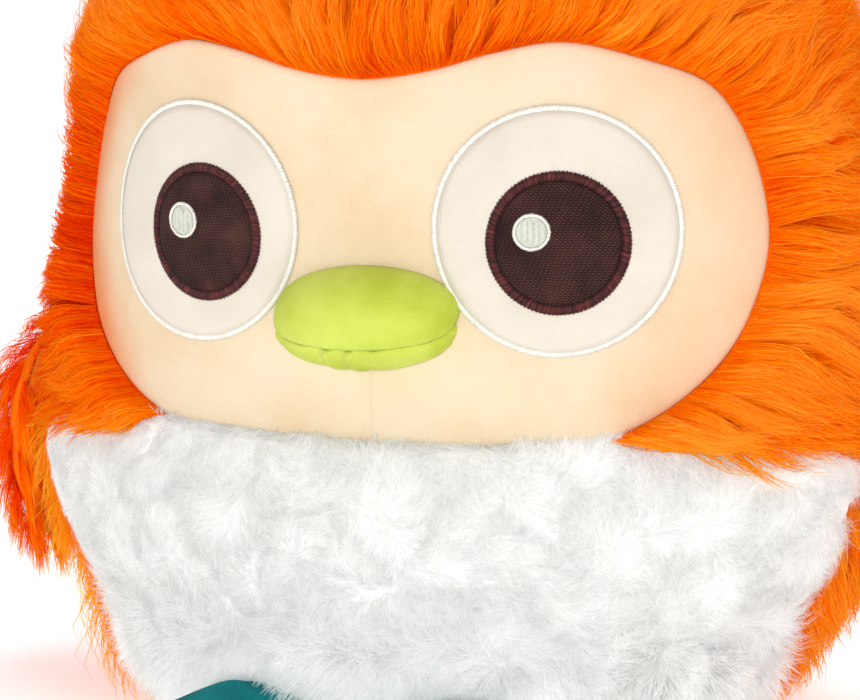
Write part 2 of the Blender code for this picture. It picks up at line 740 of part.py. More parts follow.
def sew_wing(side, name):
    """A wing hung by its top edge. It leans out just enough to lie on the swell of the body."""
    leaf = (WING_LENGTH, WING_WIDTH, WING_OUTER_SWELL, WING_INNER_SWELL, WING_BROAD_SHARE)
    drops = np.linspace(0, WING_LENGTH - WING_KNUCKLE, CURVE_STEP_COUNT)
    along = 2 * (drops + WING_KNUCKLE) / WING_LENGTH - 1
    rim = WING_CLOTH / 2 + SEAM_GAP / 2
    inner = WING_INNER_SWELL * np.sqrt(1 - along**2) + rim
    root = flank(WING_ROOT_HEIGHT - WING_KNUCKLE) + max(inner[0], math.hypot(WING_KNUCKLE, rim))
    proud = flank(WING_ROOT_HEIGHT - drops[1:]) + inner[1:] - root
    lean = np.arctan2(proud, drops[1:]).max()
    pivot = add_pivot(f"wing_pivot_{name}", (side * root, WING_BACKWARD, WING_ROOT_HEIGHT))
    upright = Matrix.Rotation(math.pi / 2, 4, "X")
    outwards = Matrix.Rotation(side * math.pi / 2, 4, "Z")
    tilt = Matrix.Rotation(-side * lean, 4, "Y")
    place = tilt @ outwards @ upright @ Matrix.Translation((0, WING_KNUCKLE, 0))
    names = (f"wing_fur_{name}", f"wing_lining_{name}", f"wing_stuffing_{name}")
    cloths = (ORANGE_FUR, ORANGE_LINING)
    stuffed_leaf(names, leaf, WING_CLOTH, cloths, place, pivot, None, WING_STEP_COUNTS)


def sew_ear(side, name, cutter):
    """An ear tuft: a stuffed leaf standing on the crown's corner, cut where it meets the head."""
    leaf = (EAR_LENGTH, EAR_WIDTH, EAR_SWELL, EAR_SWELL, -EAR_BROAD_SHARE)
    upright = Matrix.Rotation(math.pi / 2, 4, "X")
    lean = Matrix.Rotation(side * EAR_LEAN, 4, "Y")
    spread = EAR_SPREAD_SHARE * HALF_WIDTH
    root = Matrix.Translation((side * spread, EAR_BACKWARD, CROWN_HEIGHT - EAR_ROOT_DROP))
    place = root @ lean @ upright @ Matrix.Translation((0, EAR_LENGTH, 0))
    names = (f"ear_front_{name}", f"ear_back_{name}", f"ear_stuffing_{name}")
    cloths = (ORANGE_FUR, ORANGE_FUR)
    stuffed_leaf(names, leaf, EAR_CLOTH, cloths, place, None, cutter, EAR_STEP_COUNTS)


def foot_reach(turn, shrink):
    """How far the foot's outline lies from its centre: the heel's oval or the farthest toe."""
    x, y = math.sin(turn), math.cos(turn)
    half_width, half_length = FOOT_HALF_WIDTH - shrink, FOOT_HALF_LENGTH - shrink
    reach = 1 / math.hypot(x / half_width, y / half_length)
    for toe in (-1, 0, 1):
        centre_x = toe * TOE_PITCH
        centre_y = TOE_REACH + (MIDDLE_TOE_LEAD if toe == 0 else 0)
        along = centre_x * x + centre_y * y
        off = centre_x * y - centre_y * x
        radius = TOE_RADIUS - shrink
        if along > 0 and abs(off) < radius:
            reach = max(reach, along + math.sqrt(radius**2 - off**2))
    return reach


def foot_layer(blank, shrink, low, high):
    """One face of the foot, domed from low at its rim to high in the middle. Toes point to -y."""
    turn = np.arctan2(blank[:, 0], -blank[:, 1])
    turn = turn - TOE_CROWDING_SHARE * np.sin(turn)
    share = np.hypot(blank[:, 0], blank[:, 1])
    out = np.sin(share * math.pi / 2)
    reach = np.array([foot_reach(angle, shrink) for angle in turn]) * out
    between_toes = np.minimum(np.abs(turn) / math.atan2(TOE_PITCH, TOE_REACH), 1)
    valley = TOE_VALLEY_SHARE * out * np.sin(between_toes * math.pi) ** 2
    swell = np.sqrt(np.maximum(1 - out**2, 0)) * (1 - valley)
    z = low + (high - low) * swell
    return np.column_stack([reach * np.sin(turn), -reach * np.cos(turn), z])


def belly_front(height):
    return section(height)[1] + BELLY_PILE + CLEARANCE


def sew_foot(side, name, cutter):
    """A foot with a domed upper, a flat sole and its stuffing, hinged at the top of its root."""
    root = belly_front(FOOT_HEIGHT)
    hinge = Vector((side * FOOT_SPREAD, -root, FOOT_HEIGHT))
    centre = Vector((side * FOOT_SPREAD, -root - FOOT_LEAD, 0))
    pivot = add_pivot(f"foot_pivot_{name}", hinge, side * FOOT_SPLAY)
    unturned = Matrix.Rotation(-side * FOOT_SPLAY, 3, "Z")
    place = Matrix.Translation(unturned @ (centre - hinge))
    sole_top = SOLE_CLOTH + CLEARANCE
    shrink = FOOT_CLOTH + CLEARANCE
    layers = (
        ("foot_sole", (0, 0, 0), (0, SOLE_CLOTH, SOLE_CLOTH), 1, TEAL_PLUSH),
        ("foot_upper", (FOOT_CLOTH, sole_top, FOOT_HEIGHT - FOOT_CLOTH),
         (0, sole_top + FOOT_CLOTH, FOOT_HEIGHT), FOOT_RING_COUNT, TEAL_PLUSH),
        ("foot_stuffing", (shrink, sole_top, sole_top),
         (shrink, sole_top + CLEARANCE, FOOT_HEIGHT - shrink), FOOT_RING_COUNT, FIBREFILL),
    )
    for piece, lower, upper, rings, cloth in layers:
        bm = blank_disc(FOOT_SEGMENT_COUNT, rings)
        blank = places(bm)
        points = np.where(blank[:, 2:] > 0, foot_layer(blank, *upper), foot_layer(blank, *lower))
        set_places(bm, points)
        bmesh.ops.transform(bm, matrix=place, verts=bm.verts[:])
        add_object(f"{piece}_{name}", bm, cloth, pivot, cutter)


sew_body()
sew_head()
sew_beak()
head_cutter = body_cutter("cutter_head", FUR_PILE)
belly_cutter = body_cutter("cutter_belly", BELLY_PILE)
for owl_side, side_name in ((1, "left"), (-1, "right")):
    sew_eye(owl_side, side_name)
    sew_wing(owl_side, side_name)
    sew_ear(owl_side, side_name, head_cutter)
    sew_foot(owl_side, side_name, belly_cutter)
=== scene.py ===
import math

import bmesh
import bpy
import numpy as np
from mathutils import Matrix, Vector
from mathutils.kdtree import KDTree


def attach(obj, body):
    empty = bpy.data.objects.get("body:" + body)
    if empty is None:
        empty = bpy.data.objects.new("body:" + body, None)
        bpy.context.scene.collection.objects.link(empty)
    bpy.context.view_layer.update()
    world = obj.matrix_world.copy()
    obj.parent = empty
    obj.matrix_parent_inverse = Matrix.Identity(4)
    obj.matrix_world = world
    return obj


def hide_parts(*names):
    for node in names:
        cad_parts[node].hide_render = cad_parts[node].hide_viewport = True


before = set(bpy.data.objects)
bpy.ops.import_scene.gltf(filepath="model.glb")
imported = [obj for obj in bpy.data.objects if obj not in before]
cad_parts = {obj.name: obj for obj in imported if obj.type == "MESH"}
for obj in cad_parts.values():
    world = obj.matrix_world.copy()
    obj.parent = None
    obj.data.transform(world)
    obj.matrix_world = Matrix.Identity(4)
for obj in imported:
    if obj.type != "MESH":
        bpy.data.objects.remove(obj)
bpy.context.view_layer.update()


# The stuffing of body and head is one firm lump of polyester fibrefill, pushed in through the base.
# It sets the form of the whole owl, and every cloth panel is pulled smooth over it.
CROWN_HEIGHT = 0.263
HALF_WIDTH = 0.128
FRONT_DEPTH = 0.086
BACK_DEPTH = 0.088
SECTION_POWER = 2.3
FORM_SHARES = (
    (0.0, 0.547, 0.581, 0.659),
    (0.019, 0.594, 0.651, 0.727),
    (0.046, 0.648, 0.721, 0.784),
    (0.084, 0.719, 0.826, 0.852),
    (0.129, 0.789, 0.919, 0.909),
    (0.179, 0.859, 0.977, 0.955),
    (0.228, 0.93, 1.0, 0.989),
    (0.285, 0.98, 0.977, 1.0),
    (0.342, 1.0, 0.901, 0.989),
    (0.399, 0.988, 0.891, 0.977),
    (0.494, 0.955, 0.902, 0.955),
    (0.589, 0.922, 0.919, 0.932),
    (0.684, 0.888, 0.937, 0.909),
    (0.787, 0.844, 0.953, 0.875),
    (0.859, 0.773, 0.907, 0.818),
    (0.916, 0.656, 0.802, 0.716),
    (0.958, 0.492, 0.616, 0.557),
    (0.989, 0.258, 0.337, 0.307),
    (1.0, 0.0, 0.0, 0.0),
)
HEART = np.array([0.0, 0.0, 0.45 * CROWN_HEIGHT])
BACKING = 0.0012
CLEARANCE = 0.0003
BASE_CLOTH = 0.0012
UP = np.array([0.0, 0.0, 1.0])
ASIDE = np.array([1.0, 0.0, 0.0])


def unit(vectors):
    return vectors / np.maximum(np.linalg.norm(vectors, axis=-1, keepdims=True), 1e-9)


def dot(first, second):
    return (first * second).sum(-1, keepdims=True)


def smooth_line(rows, before, after):
    """A smooth curve through rows. The points before and after steer its two ends."""
    points = np.vstack([before, rows, after])
    line = []
    for p0, p1, p2, p3 in zip(points, points[1:], points[2:], points[3:]):
        for t in np.linspace(0, 1, 24, endpoint=False):
            bend = 2 * p0 - 5 * p1 + 4 * p2 - p3
            twist = 3 * p1 - p0 - 3 * p2 + p3
            line.append((2 * p1 + (p2 - p0) * t + bend * t**2 + twist * t**3) / 2)
    line.append(rows[-1])
    return np.array(line)


form_rows = np.array(FORM_SHARES) * [CROWN_HEIGHT, HALF_WIDTH, FRONT_DEPTH, BACK_DEPTH]
profile = smooth_line(form_rows, 2 * form_rows[0] - form_rows[1], form_rows[-2] * [1, -1, -1, -1])


def section(heights):
    """Half width, front depth and back depth of the form at these heights."""
    return [np.interp(heights, profile[:, 0], profile[:, k]) for k in (1, 2, 3)]


def fullness(points):
    """Below 1 inside the form, 1 on its surface, more outside."""
    x, y, z = points.T
    width, front, back = (np.maximum(size, 1e-9) for size in section(z))
    depth = np.where(y < 0, front, back)
    power = SECTION_POWER
    inside = ((np.abs(x) / width) ** power + (np.abs(y) / depth) ** power) ** (1 / power)
    past_end = np.maximum(-z, z - CROWN_HEIGHT)
    return np.where(past_end > 0, 1 + past_end / CROWN_HEIGHT, inside)


def onto_form(points):
    """Moves points along the ray from the heart until they lie on the form."""
    ways = unit(points - HEART)
    near = np.zeros(len(points))
    far = np.full(len(points), CROWN_HEIGHT)
    for _ in range(22):
        middle = (near + far) / 2
        within = fullness(HEART + ways * middle[:, None]) < 1
        near = np.where(within, middle, near)
        far = np.where(within, far, middle)
    return HEART + ways * near[:, None]


def outward(points):
    """The form's normals at points on it."""
    ways = unit(points - HEART)
    helper = np.where(np.abs(ways[:, 2:]) < 0.9, UP, ASIDE)
    first = unit(np.cross(ways, helper))
    second = np.cross(ways, first)
    slopes = [
        onto_form(points + 0.0004 * side) - onto_form(points - 0.0004 * side)
        for side in (first, second)
    ]
    normals = unit(np.cross(*slopes))
    return normals * np.sign(dot(normals, ways))


def lifted(points, rise):
    return points + outward(points) * np.reshape(rise, (-1, 1))


def places(bm):
    return np.array([vert.co for vert in bm.verts])


def set_places(bm, points):
    for vert, point in zip(bm.verts, points):
        vert.co = point


def finished(name, bm, material):
    """Turns a blank into a smooth piece with its faces outwards."""
    bmesh.ops.recalc_face_normals(bm, faces=bm.faces[:])
    mesh = bpy.data.meshes.new(name)
    bm.to_mesh(mesh)
    bm.free()
    mesh.shade_smooth()
    mesh.materials.append(material)
    piece = bpy.data.objects.new(name, mesh)
    bpy.context.scene.collection.objects.link(piece)
    return piece


def dye(code):
    """A dyer's colour, six hex digits, as the light it reflects."""
    shares = [int(code[k : k + 2], 16) / 255 for k in (0, 2, 4)]
    light = [s / 12.92 if s <= 0.04045 else ((s + 0.055) / 1.055) ** 2.4 for s in shares]
    return (*light, 1)


def put(tree, kind, inputs=(), **fields):
    """Adds a node, sets its fields, and fills or wires its inputs."""
    node = tree.nodes.new(kind)
    for field, value in fields.items():
        setattr(node, field, value)
    for name, value in dict(inputs).items():
        if isinstance(value, bpy.types.NodeSocket):
            tree.links.new(value, node.inputs[name])
        else:
            node.inputs[name].default_value = value
    return node


def ramp(tree, factor, stops):
    """Colours along a factor from 0 to 1, as pairs of place and dye."""
    node = put(tree, "ShaderNodeValToRGB", {"Fac": factor})
    band = node.color_ramp
    while len(band.elements) < len(stops):
        band.elements.new(1.0)
    for element, (place, code) in zip(band.elements, stops):
        element.position = place
        element.color = dye(code)
    return node.outputs["Color"]


def new_material(name):
    """A material with only its output, and its tree."""
    material = bpy.data.materials.new(name)
    material.use_nodes = True
    tree = material.node_tree
    tree.nodes.remove(tree.nodes["Principled BSDF"])
    return material, tree


def noise(tree, scale, detail, roughness=0.5):
    """A random pattern that stays with the piece."""
    spot = put(tree, "ShaderNodeTexCoord").outputs["Object"]
    settings = {"Vector": spot, "Scale": scale, "Detail": detail, "Roughness": roughness}
    return put(tree, "ShaderNodeTexNoise", settings).outputs["Fac"]


def grain(tree, height, depth):
    """A fine relief in the surface, this deep."""
    return put(tree, "ShaderNodeBump", {"Height": height, "Distance": depth}).outputs["Normal"]


def shaded(tree, tone, roughness, **more):
    """A surface of this tone and roughness, and its gloss, sheen, relief and glow if it has them."""
    names = {
        "gloss": "Specular IOR Level",
        "sheen": "Sheen Weight",
        "sheen_spread": "Sheen Roughness",
        "relief": "Normal",
        "glow": "Emission Color",
        "glow_strength": "Emission Strength",
    }
    settings = {names[key]: value for key, value in more.items()}
    settings.update({"Base Color": tone, "Roughness": roughness})
    return put(tree, "ShaderNodeBsdfPrincipled", settings).outputs["BSDF"]


def covered(material, shader):
    """Ends a material in its shader."""
    tree = material.node_tree
    tree.links.new(shader, tree.nodes["Material Output"].inputs["Surface"])
    return material


def fibrefill_material():
    material, tree = new_material("loose white fibrefill")
    wisps = noise(tree, 260, 6)
    tone = ramp(tree, wisps, ((0.3, "E2E2DE"), (0.7, "F7F7F4")))
    return covered(material, shaded(tree, tone, 1.0, relief=grain(tree, wisps, 0.001)))


fibrefill = fibrefill_material()
rng = np.random.default_rng(11)
bm = bmesh.new()
bmesh.ops.create_uvsphere(bm, u_segments=64, v_segments=48, radius=1)
core = onto_form(HEART + places(bm))
lumps = rng.uniform(0, 0.0008, len(core))
core = lifted(core, -(BACKING + CLEARANCE + 0.0018) - lumps)
core[:, 2] = np.maximum(core[:, 2], BASE_CLOTH + CLEARANCE)
set_places(bm, core)
body_core = finished("body_core", bm, fibrefill)
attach(body_core, "root")
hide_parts("body_stuffing")


# The face is one heart-shaped panel of short peach velboa. Its edge turns under into the seam all
# round, and a dart closes it from under the beak to the chin. Its edges are painted a deeper orange:
# painted shade and painted orange light thrown from the fur, strongest at the left edge.
CHIN_HEIGHT = 0.0926
FACE_HEIGHT = 0.1144
FACE_HALF_GIRTH = 0.117
CHIN_OUTLINE_SHARES = ((0.0, 0.0), (0.386, 0.015), (0.589, 0.038))
CHEEK_OUTLINE_SHARES = (
    (0.755, 0.126),
    (0.89, 0.257),
    (0.972, 0.414),
    (1.0, 0.545),
    (0.976, 0.694),
    (0.921, 0.816),
    (0.84, 0.904),
    (0.698, 0.956),
    (0.506, 1.0),
    (0.344, 0.978),
    (0.171, 0.93),
    (0.0, 0.909),
)
SECTION_STEPS = 180
FACE_PILE = 0.0015
FACE_ROLL = 0.003
DART_HEIGHT = 0.118
DART_DEPTH = 0.0005
DART_WIDTH = 0.0011
EYE_HEIGHT = CHIN_HEIGHT + 0.545 * FACE_HEIGHT


def half_sections(heights):
    """Half of the form's section at each height, front to back: its x, its y and its steps."""
    width, front, back = (size[:, None] for size in section(np.atleast_1d(heights)))
    turn = np.linspace(0, math.pi, SECTION_STEPS + 1)
    share = 2 / SECTION_POWER
    x = width * np.abs(np.sin(turn)) ** share
    y = np.where(turn < math.pi / 2, -front, back) * np.abs(np.cos(turn)) ** share
    return x, y, np.hypot(np.diff(x), np.diff(y))


def around(girths, heights):
    """Points of the form at tape distances from its front middle, positive towards +X."""
    girths, heights = np.atleast_1d(girths), np.atleast_1d(heights)
    x, y, steps = half_sections(heights)
    tape = np.concatenate([np.zeros((len(heights), 1)), np.cumsum(steps, axis=1)], axis=1)
    reach = np.minimum(np.abs(girths), tape[:, -1])
    stop = np.clip((tape <= reach[:, None]).sum(1), 1, SECTION_STEPS)
    row = np.arange(len(heights))
    before, after = tape[row, stop - 1], tape[row, stop]
    part = (reach - before) / np.maximum(after - before, 1e-9)
    side = np.where(girths < 0, -1, 1)
    along = x[row, stop - 1] * (1 - part) + x[row, stop] * part
    deep = y[row, stop - 1] * (1 - part) + y[row, stop] * part
    return np.column_stack([side * along, deep, heights])


def half_tape(heights):
    """The tape distance from the front middle to the back middle."""
    return half_sections(heights)[2].sum(1)


def line_stops(line, stops):
    """The points of a line at these distances along it."""
    steps = np.linalg.norm(np.diff(line, axis=0), axis=1)
    along = np.concatenate([[0], np.cumsum(steps)])
    return np.column_stack([np.interp(stops, along, column) for column in line.T])


def even_steps(line, count):
    """The same line in equal steps."""
    length = np.linalg.norm(np.diff(line, axis=0), axis=1).sum()
    return line_stops(line, np.linspace(0, length, count + 1))


def spin_closed(bm, segments):
    bmesh.ops.spin(
        bm,
        geom=bm.verts[:] + bm.edges[:],
        axis=(0, 0, 1),
        cent=(0, 0, 0),
        steps=segments,
        angle=2 * math.pi,
        use_merge=True,
    )


def blank_disc(segments, rings):
    """A round blank of radius 1."""
    bm = bmesh.new()
    spoke = [bm.verts.new((i / rings, 0, 0)) for i in range(rings + 1)]
    for inner, outer in zip(spoke, spoke[1:]):
        bm.edges.new((inner, outer))
    spin_closed(bm, segments)
    bmesh.ops.remove_doubles(bm, verts=bm.verts[:], dist=1e-5)
    return bm


def lined(piece, thickness):
    """Gives a panel the thickness of its cloth, inwards."""
    wall = piece.modifiers.new("cloth thickness", "SOLIDIFY")
    wall.thickness = thickness
    wall.offset = -1
    return piece


def attribute(tree, name):
    return put(tree, "ShaderNodeAttribute", attribute_name=name).outputs["Fac"]


def combined(tree, operation, *factors):
    settings = dict(enumerate(factors))
    return put(tree, "ShaderNodeMath", settings, operation=operation).outputs["Value"]


def velboa_material(name, deep, plain, light, fineness, mottle, nap, sheen, painted_shade_tone=None):
    """Short cut pile: a fine grain, soft patches where the nap lies another way, and a sheen."""
    material, tree = new_material(name)
    hairs = noise(tree, fineness, 4, 0.7)
    both = combined(tree, "MULTIPLY_ADD", hairs, 0.35, noise(tree, mottle, 3))
    tone = ramp(tree, both, ((0.45, deep), (0.68, plain), (0.9, light)))
    # The orange colour multiplied in by the 'beside' attribute is painted shade and painted orange
    # light from the fur.
    if painted_shade_tone:
        blend = {0: attribute(tree, "beside"), 6: tone, 7: dye(painted_shade_tone)}
        painted_shade_mix = put(tree, "ShaderNodeMix", blend, data_type="RGBA", blend_type="MULTIPLY")
        tone = painted_shade_mix.outputs[2]
    relief = grain(tree, hairs, nap)
    shader = shaded(tree, tone, 0.95, gloss=0.1, sheen=sheen, sheen_spread=0.4, relief=relief)
    return covered(material, shader)


outline_shares = np.array(CHIN_OUTLINE_SHARES + CHEEK_OUTLINE_SHARES)
outline = outline_shares * [FACE_HALF_GIRTH, FACE_HEIGHT] + [0, CHIN_HEIGHT]
outline_line = smooth_line(outline, outline[1] * [-1, 1], outline[-2] * [-1, 1])
corner_at = (len(CHIN_OUTLINE_SHARES) - 1) * 24
corner_flat = outline_line[corner_at]

outline_length = np.linalg.norm(np.diff(outline_line, axis=0), axis=1).sum()
dart_stops = (0.0, 0.0003, 0.0006, 0.0009, 0.0013, 0.0018, 0.0026, 0.004, 0.006)
stops = np.concatenate([dart_stops, np.linspace(0.009, outline_length, 84)])
half = line_stops(outline_line, stops)
ring = np.vstack([half, (half[1:-1] * [-1, 1])[::-1]])
centre = np.array([0.0, CHIN_HEIGHT + FACE_HEIGHT / 2])
bm = blank_disc(len(ring), 40)
blank = places(bm)
turn = np.arctan2(blank[:, 1], blank[:, 0])
spoke = np.rint(turn / (2 * math.pi) * len(ring)).astype(int) % len(ring)
reach = 1 - (1 - np.hypot(blank[:, 0], blank[:, 1])) ** 1.35
flat = centre + (ring[spoke] - centre) * reach[:, None]
from_edge = np.linalg.norm(ring[spoke] - centre, axis=1) * (1 - reach)
roll = np.sqrt(np.maximum(1 - (1 - np.minimum(from_edge / FACE_ROLL, 1)) ** 2, 0))
dart = np.exp(-((flat[:, 0] / DART_WIDTH) ** 2)) * np.clip((DART_HEIGHT - flat[:, 1]) / 0.004, 0, 1)
skin = around(flat[:, 0], flat[:, 1])
set_places(bm, lifted(skin, FACE_PILE * roll - DART_DEPTH * dart))
# How much painted shade and painted orange light each edge of the face takes, left and right, kept in
# the 'beside' attribute.
painted_shade_left_edge = np.clip((-0.075 - skin[:, 0]) / 0.02, 0, 1) * np.exp(-((from_edge / 0.015) ** 2))
painted_shade_right_edge = np.clip((skin[:, 0] - 0.05) / 0.04, 0, 1) * np.exp(-((from_edge / 0.026) ** 2))
peach_velboa = velboa_material(
    "peach velboa", "E8CDA8", "EDD9B9", "EFDEC4", 2600, 34, 0.0003, 0.12, "FFA468"
)
face = finished("face", bm, peach_velboa)
beside = face.data.attributes.new("beside", "FLOAT", "POINT")
beside.data.foreach_set("value", (painted_shade_left_edge + 0.24 * painted_shade_right_edge).astype(np.float32))
lined(face, FACE_PILE + BACKING)
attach(face, "root")
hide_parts("face_panel")


# Each eye is built up from flat sewn rounds: a cream velboa disc edged with white satin stitches, a
# brown twill pupil edged with red-brown satin stitches, and an embroidered white highlight.
EYE_RADIUS = 0.035
EYE_GIRTH = EYE_RADIUS + 0.347 * FACE_HALF_GIRTH / 2
EYE_STITCH = 0.0017
PUPIL_RADIUS = 0.020
PUPIL_STITCH = 0.0029
PUPIL_DROP = 0.0030
PUPIL_ACROSS = 0.0021
PUPIL_INWARD = 0.0015
HIGHLIGHT_RADIUS = 0.0052
HIGHLIGHT_STITCH = 0.0009
HIGHLIGHT_ACROSS = -0.0071
HIGHLIGHT_RISE = 0.0031
DISC_CLOTH = 0.0008
PUPIL_CLOTH = 0.0006
CLOTH_TUCK = 0.0005
TWILL_SLANT = math.radians(52)
STITCH_BITE = 0.00018
STITCH_SPREAD = 0.00005
FILL_COLUMN = 0.0016
FILL_SLANT = 0.0009
FILL_PITCH = 0.00034


def lay_on_face(flat, girth, height):
    """Lays flat places on the form. Their x runs across, their y up and their z outwards."""
    start = around(girth, height)
    normal = outward(start)[0]
    across = unit(np.cross(UP, normal))
    rise = np.cross(normal, across)
    reach = np.hypot(flat[:, 0], flat[:, 1])
    ways = unit(flat[:, :1] * across + flat[:, 1:2] * rise)
    step = (reach / 6)[:, None]
    at = np.repeat(start, len(flat), axis=0)
    for _ in range(6):
        ahead = onto_form(at + ways * step) - at
        at = onto_form(at + unit(ahead) * step)
    return lifted(at, flat[:, 2])


def repeated(name, blank, points, material, **attributes):
    """One piece from many copies of a blank. Points are its places, copy by copy."""
    corners = np.array([vert.index for face in blank.faces for vert in face.verts])
    sizes = np.array([len(face.verts) for face in blank.faces])
    starts = np.cumsum(sizes) - sizes
    copies = np.arange(len(points))[:, None]
    mesh = bpy.data.meshes.new(name)
    mesh.vertices.add(points.shape[0] * points.shape[1])
    mesh.vertices.foreach_set("co", points.astype(np.float32).ravel())
    mesh.loops.add(len(points) * len(corners))
    loops = (corners + copies * points.shape[1]).astype(np.int32)
    mesh.loops.foreach_set("vertex_index", loops.ravel())
    mesh.polygons.add(len(points) * len(starts))
    mesh.polygons.foreach_set("loop_start", (starts + copies * len(corners)).astype(np.int32).ravel())
    mesh.update(calc_edges=True)
    mesh.shade_smooth()
    for key, values in attributes.items():
        layer = mesh.attributes.new(key, "FLOAT", "POINT")
        layer.data.foreach_set("value", values.astype(np.float32).ravel())
    mesh.materials.append(material)
    piece = bpy.data.objects.new(name, mesh)
    bpy.context.scene.collection.objects.link(piece)
    return piece


def thread_blank():
    """A closed four-sided thread: x and z across it, y from 0 to 1 along it."""
    bm = bmesh.new()
    bmesh.ops.create_circle(bm, segments=4, radius=1 / 2)
    bmesh.ops.rotate(bm, verts=bm.verts[:], matrix=Matrix.Rotation(math.pi / 2, 3, "X"))
    rim = bm.edges[:]
    for _ in range(4):
        added = bmesh.ops.extrude_edge_only(bm, edges=rim)["geom"]
        moved = [item for item in added if isinstance(item, bmesh.types.BMVert)]
        bmesh.ops.translate(bm, verts=moved, vec=(0, 1 / 4, 0))
        rim = [item for item in added if isinstance(item, bmesh.types.BMEdge)]
        rim = [edge for edge in rim if all(vert in moved for vert in edge.verts)]
    bmesh.ops.recalc_face_normals(bm, faces=bm.faces[:])
    bm.verts.index_update()
    return bm


def threads(starts, ends, low, rise, width):
    """Flat places of satin threads, each arched over from its start to its end."""
    along = places(thread)[:, 1]
    across = places(thread)[:, 0]
    above = places(thread)[:, 2]
    run = ends - starts
    side = unit(np.column_stack([run[:, 1], -run[:, 0]]))
    arch = np.sin(np.clip(along, 0.04, 0.96) * math.pi) ** 0.6
    thin = 0.35 + 0.65 * arch
    xy = starts[:, None] + run[:, None] * along[None, :, None]
    xy = xy + side[:, None] * (across * thin)[None, :, None] * width
    z = low + rise * arch * 0.75 + above * width * 0.6
    return np.concatenate([xy, np.broadcast_to(z[None, :, None], xy.shape[:2] + (1,))], axis=2)


def satin_ring(radius, width, spot, count, group, low, rise, thread_width, rng):
    """Satin stitches laid side by side round a disc. Every other bunch of them reaches farther out."""
    angle = (np.arange(count) + rng.uniform(-0.15, 0.15, count)) / count * 2 * math.pi
    bite = np.arange(count) // group % 2 - 0.5
    outer = radius + STITCH_BITE * bite + rng.normal(0, STITCH_SPREAD, count)
    inner = radius - width + rng.normal(0, STITCH_SPREAD, count)
    way = np.column_stack([np.cos(angle), np.sin(angle)])
    slant = np.column_stack([-np.sin(angle), np.cos(angle)]) * 0.0003
    starts = way * inner[:, None] + slant + spot
    ends = way * outer[:, None] - slant + spot
    return threads(starts, ends, low, rise, thread_width)


def herringbone(radius, spot, low):
    """Slanted fill stitches in columns, every other column slanting the other way."""
    starts, ends = [], []
    for number, x in enumerate(np.arange(-radius, radius, FILL_COLUMN)):
        slant = FILL_SLANT if number % 2 else -FILL_SLANT
        for y in np.arange(-radius - 0.001, radius + 0.001, FILL_PITCH):
            start, end = np.array([x, y - slant]), np.array([x + FILL_COLUMN * 1.1, y + slant])
            if max(np.hypot(*start), np.hypot(*end)) < radius:
                starts.append(start)
                ends.append(end)
    return threads(np.array(starts) + spot, np.array(ends) + spot, low, 0.0003, FILL_PITCH)


def satin_material(name, deep, plain, light):
    """Polyester embroidery thread: smooth and glossy along its length, each one a little off."""
    material, tree = new_material(name)
    tone = ramp(tree, attribute(tree, "tone"), ((0.0, deep), (0.5, plain), (1.0, light)))
    plies = grain(tree, noise(tree, 6000, 2), 0.00004)
    return covered(material, shaded(tree, tone, 0.45, gloss=0.25, sheen=0.02, relief=plies))


def ridges(tree, spot, scale, wander, way):
    """Parallel ridges across one way, wandering a little."""
    settings = {"Vector": spot, "Scale": scale, "Distortion": wander, "Detail": 2}
    return put(tree, "ShaderNodeTexWave", settings, bands_direction=way).outputs["Fac"]


def twill_material():
    """Brown cotton twill: fine slanted ribs crossed by the weft."""
    material, tree = new_material("brown twill")
    spot = put(tree, "ShaderNodeTexCoord").outputs["Object"]
    slanted = put(tree, "ShaderNodeMapping", {"Vector": spot, "Rotation": (0, TWILL_SLANT, 0)})
    ribs = ridges(tree, slanted.outputs["Vector"], 400, 2.2, "X")
    weave = combined(tree, "MULTIPLY", ribs, ridges(tree, spot, 430, 2.0, "Z"))
    both = combined(tree, "MULTIPLY_ADD", weave, 0.5, noise(tree, 90, 4))
    tone = ramp(tree, both, ((0.3, "1E1010"), (0.6, "301919"), (0.9, "54362F")))
    relief = grain(tree, weave, 0.00012)
    return covered(material, shaded(tree, tone, 0.85, gloss=0.15, sheen=0.03, relief=relief))


def sewn_round(name, radius, swell, low, thickness, spot, girth, material):
    """A disc of cloth with its edge turned down under the stitches, swelling a little inside."""
    bm = blank_disc(72, 14)
    blank = places(bm)
    share = np.hypot(blank[:, 0], blank[:, 1])
    fall = np.clip((share - 0.9) / 0.1, 0, 1) ** 2
    z = low + thickness * (1 - 0.6 * fall) + swell * (1 - share**4)
    flat = np.column_stack([blank[:, :2] * radius + spot, z])
    set_places(bm, lay_on_face(flat, girth, EYE_HEIGHT))
    return lined(finished(name, bm, material), thickness * 0.9)


def thread_tones(points, rng, spread):
    return np.broadcast_to(rng.normal(0.5, spread, (len(points), 1)), points.shape[:2])


thread = thread_blank()
cream_velboa = velboa_material("cream velboa", "DCD4C6", "E2DACD", "E7E0D4", 2800, 40, 0.00022, 0.12)
brown_twill = twill_material()
white_satin = satin_material("white satin thread", "E4E2DA", "EFEDE5", "FAF8F2")
off_white_satin = satin_material("off-white fill thread", "CACCBF", "D6D8CB", "E6E7DE")
brown_satin = satin_material("red-brown satin thread", "180606", "471718", "743230")
on_face = FACE_PILE + CLEARANCE
on_disc = on_face + DISC_CLOTH + CLEARANCE
on_pupil = on_disc + PUPIL_CLOTH + CLEARANCE

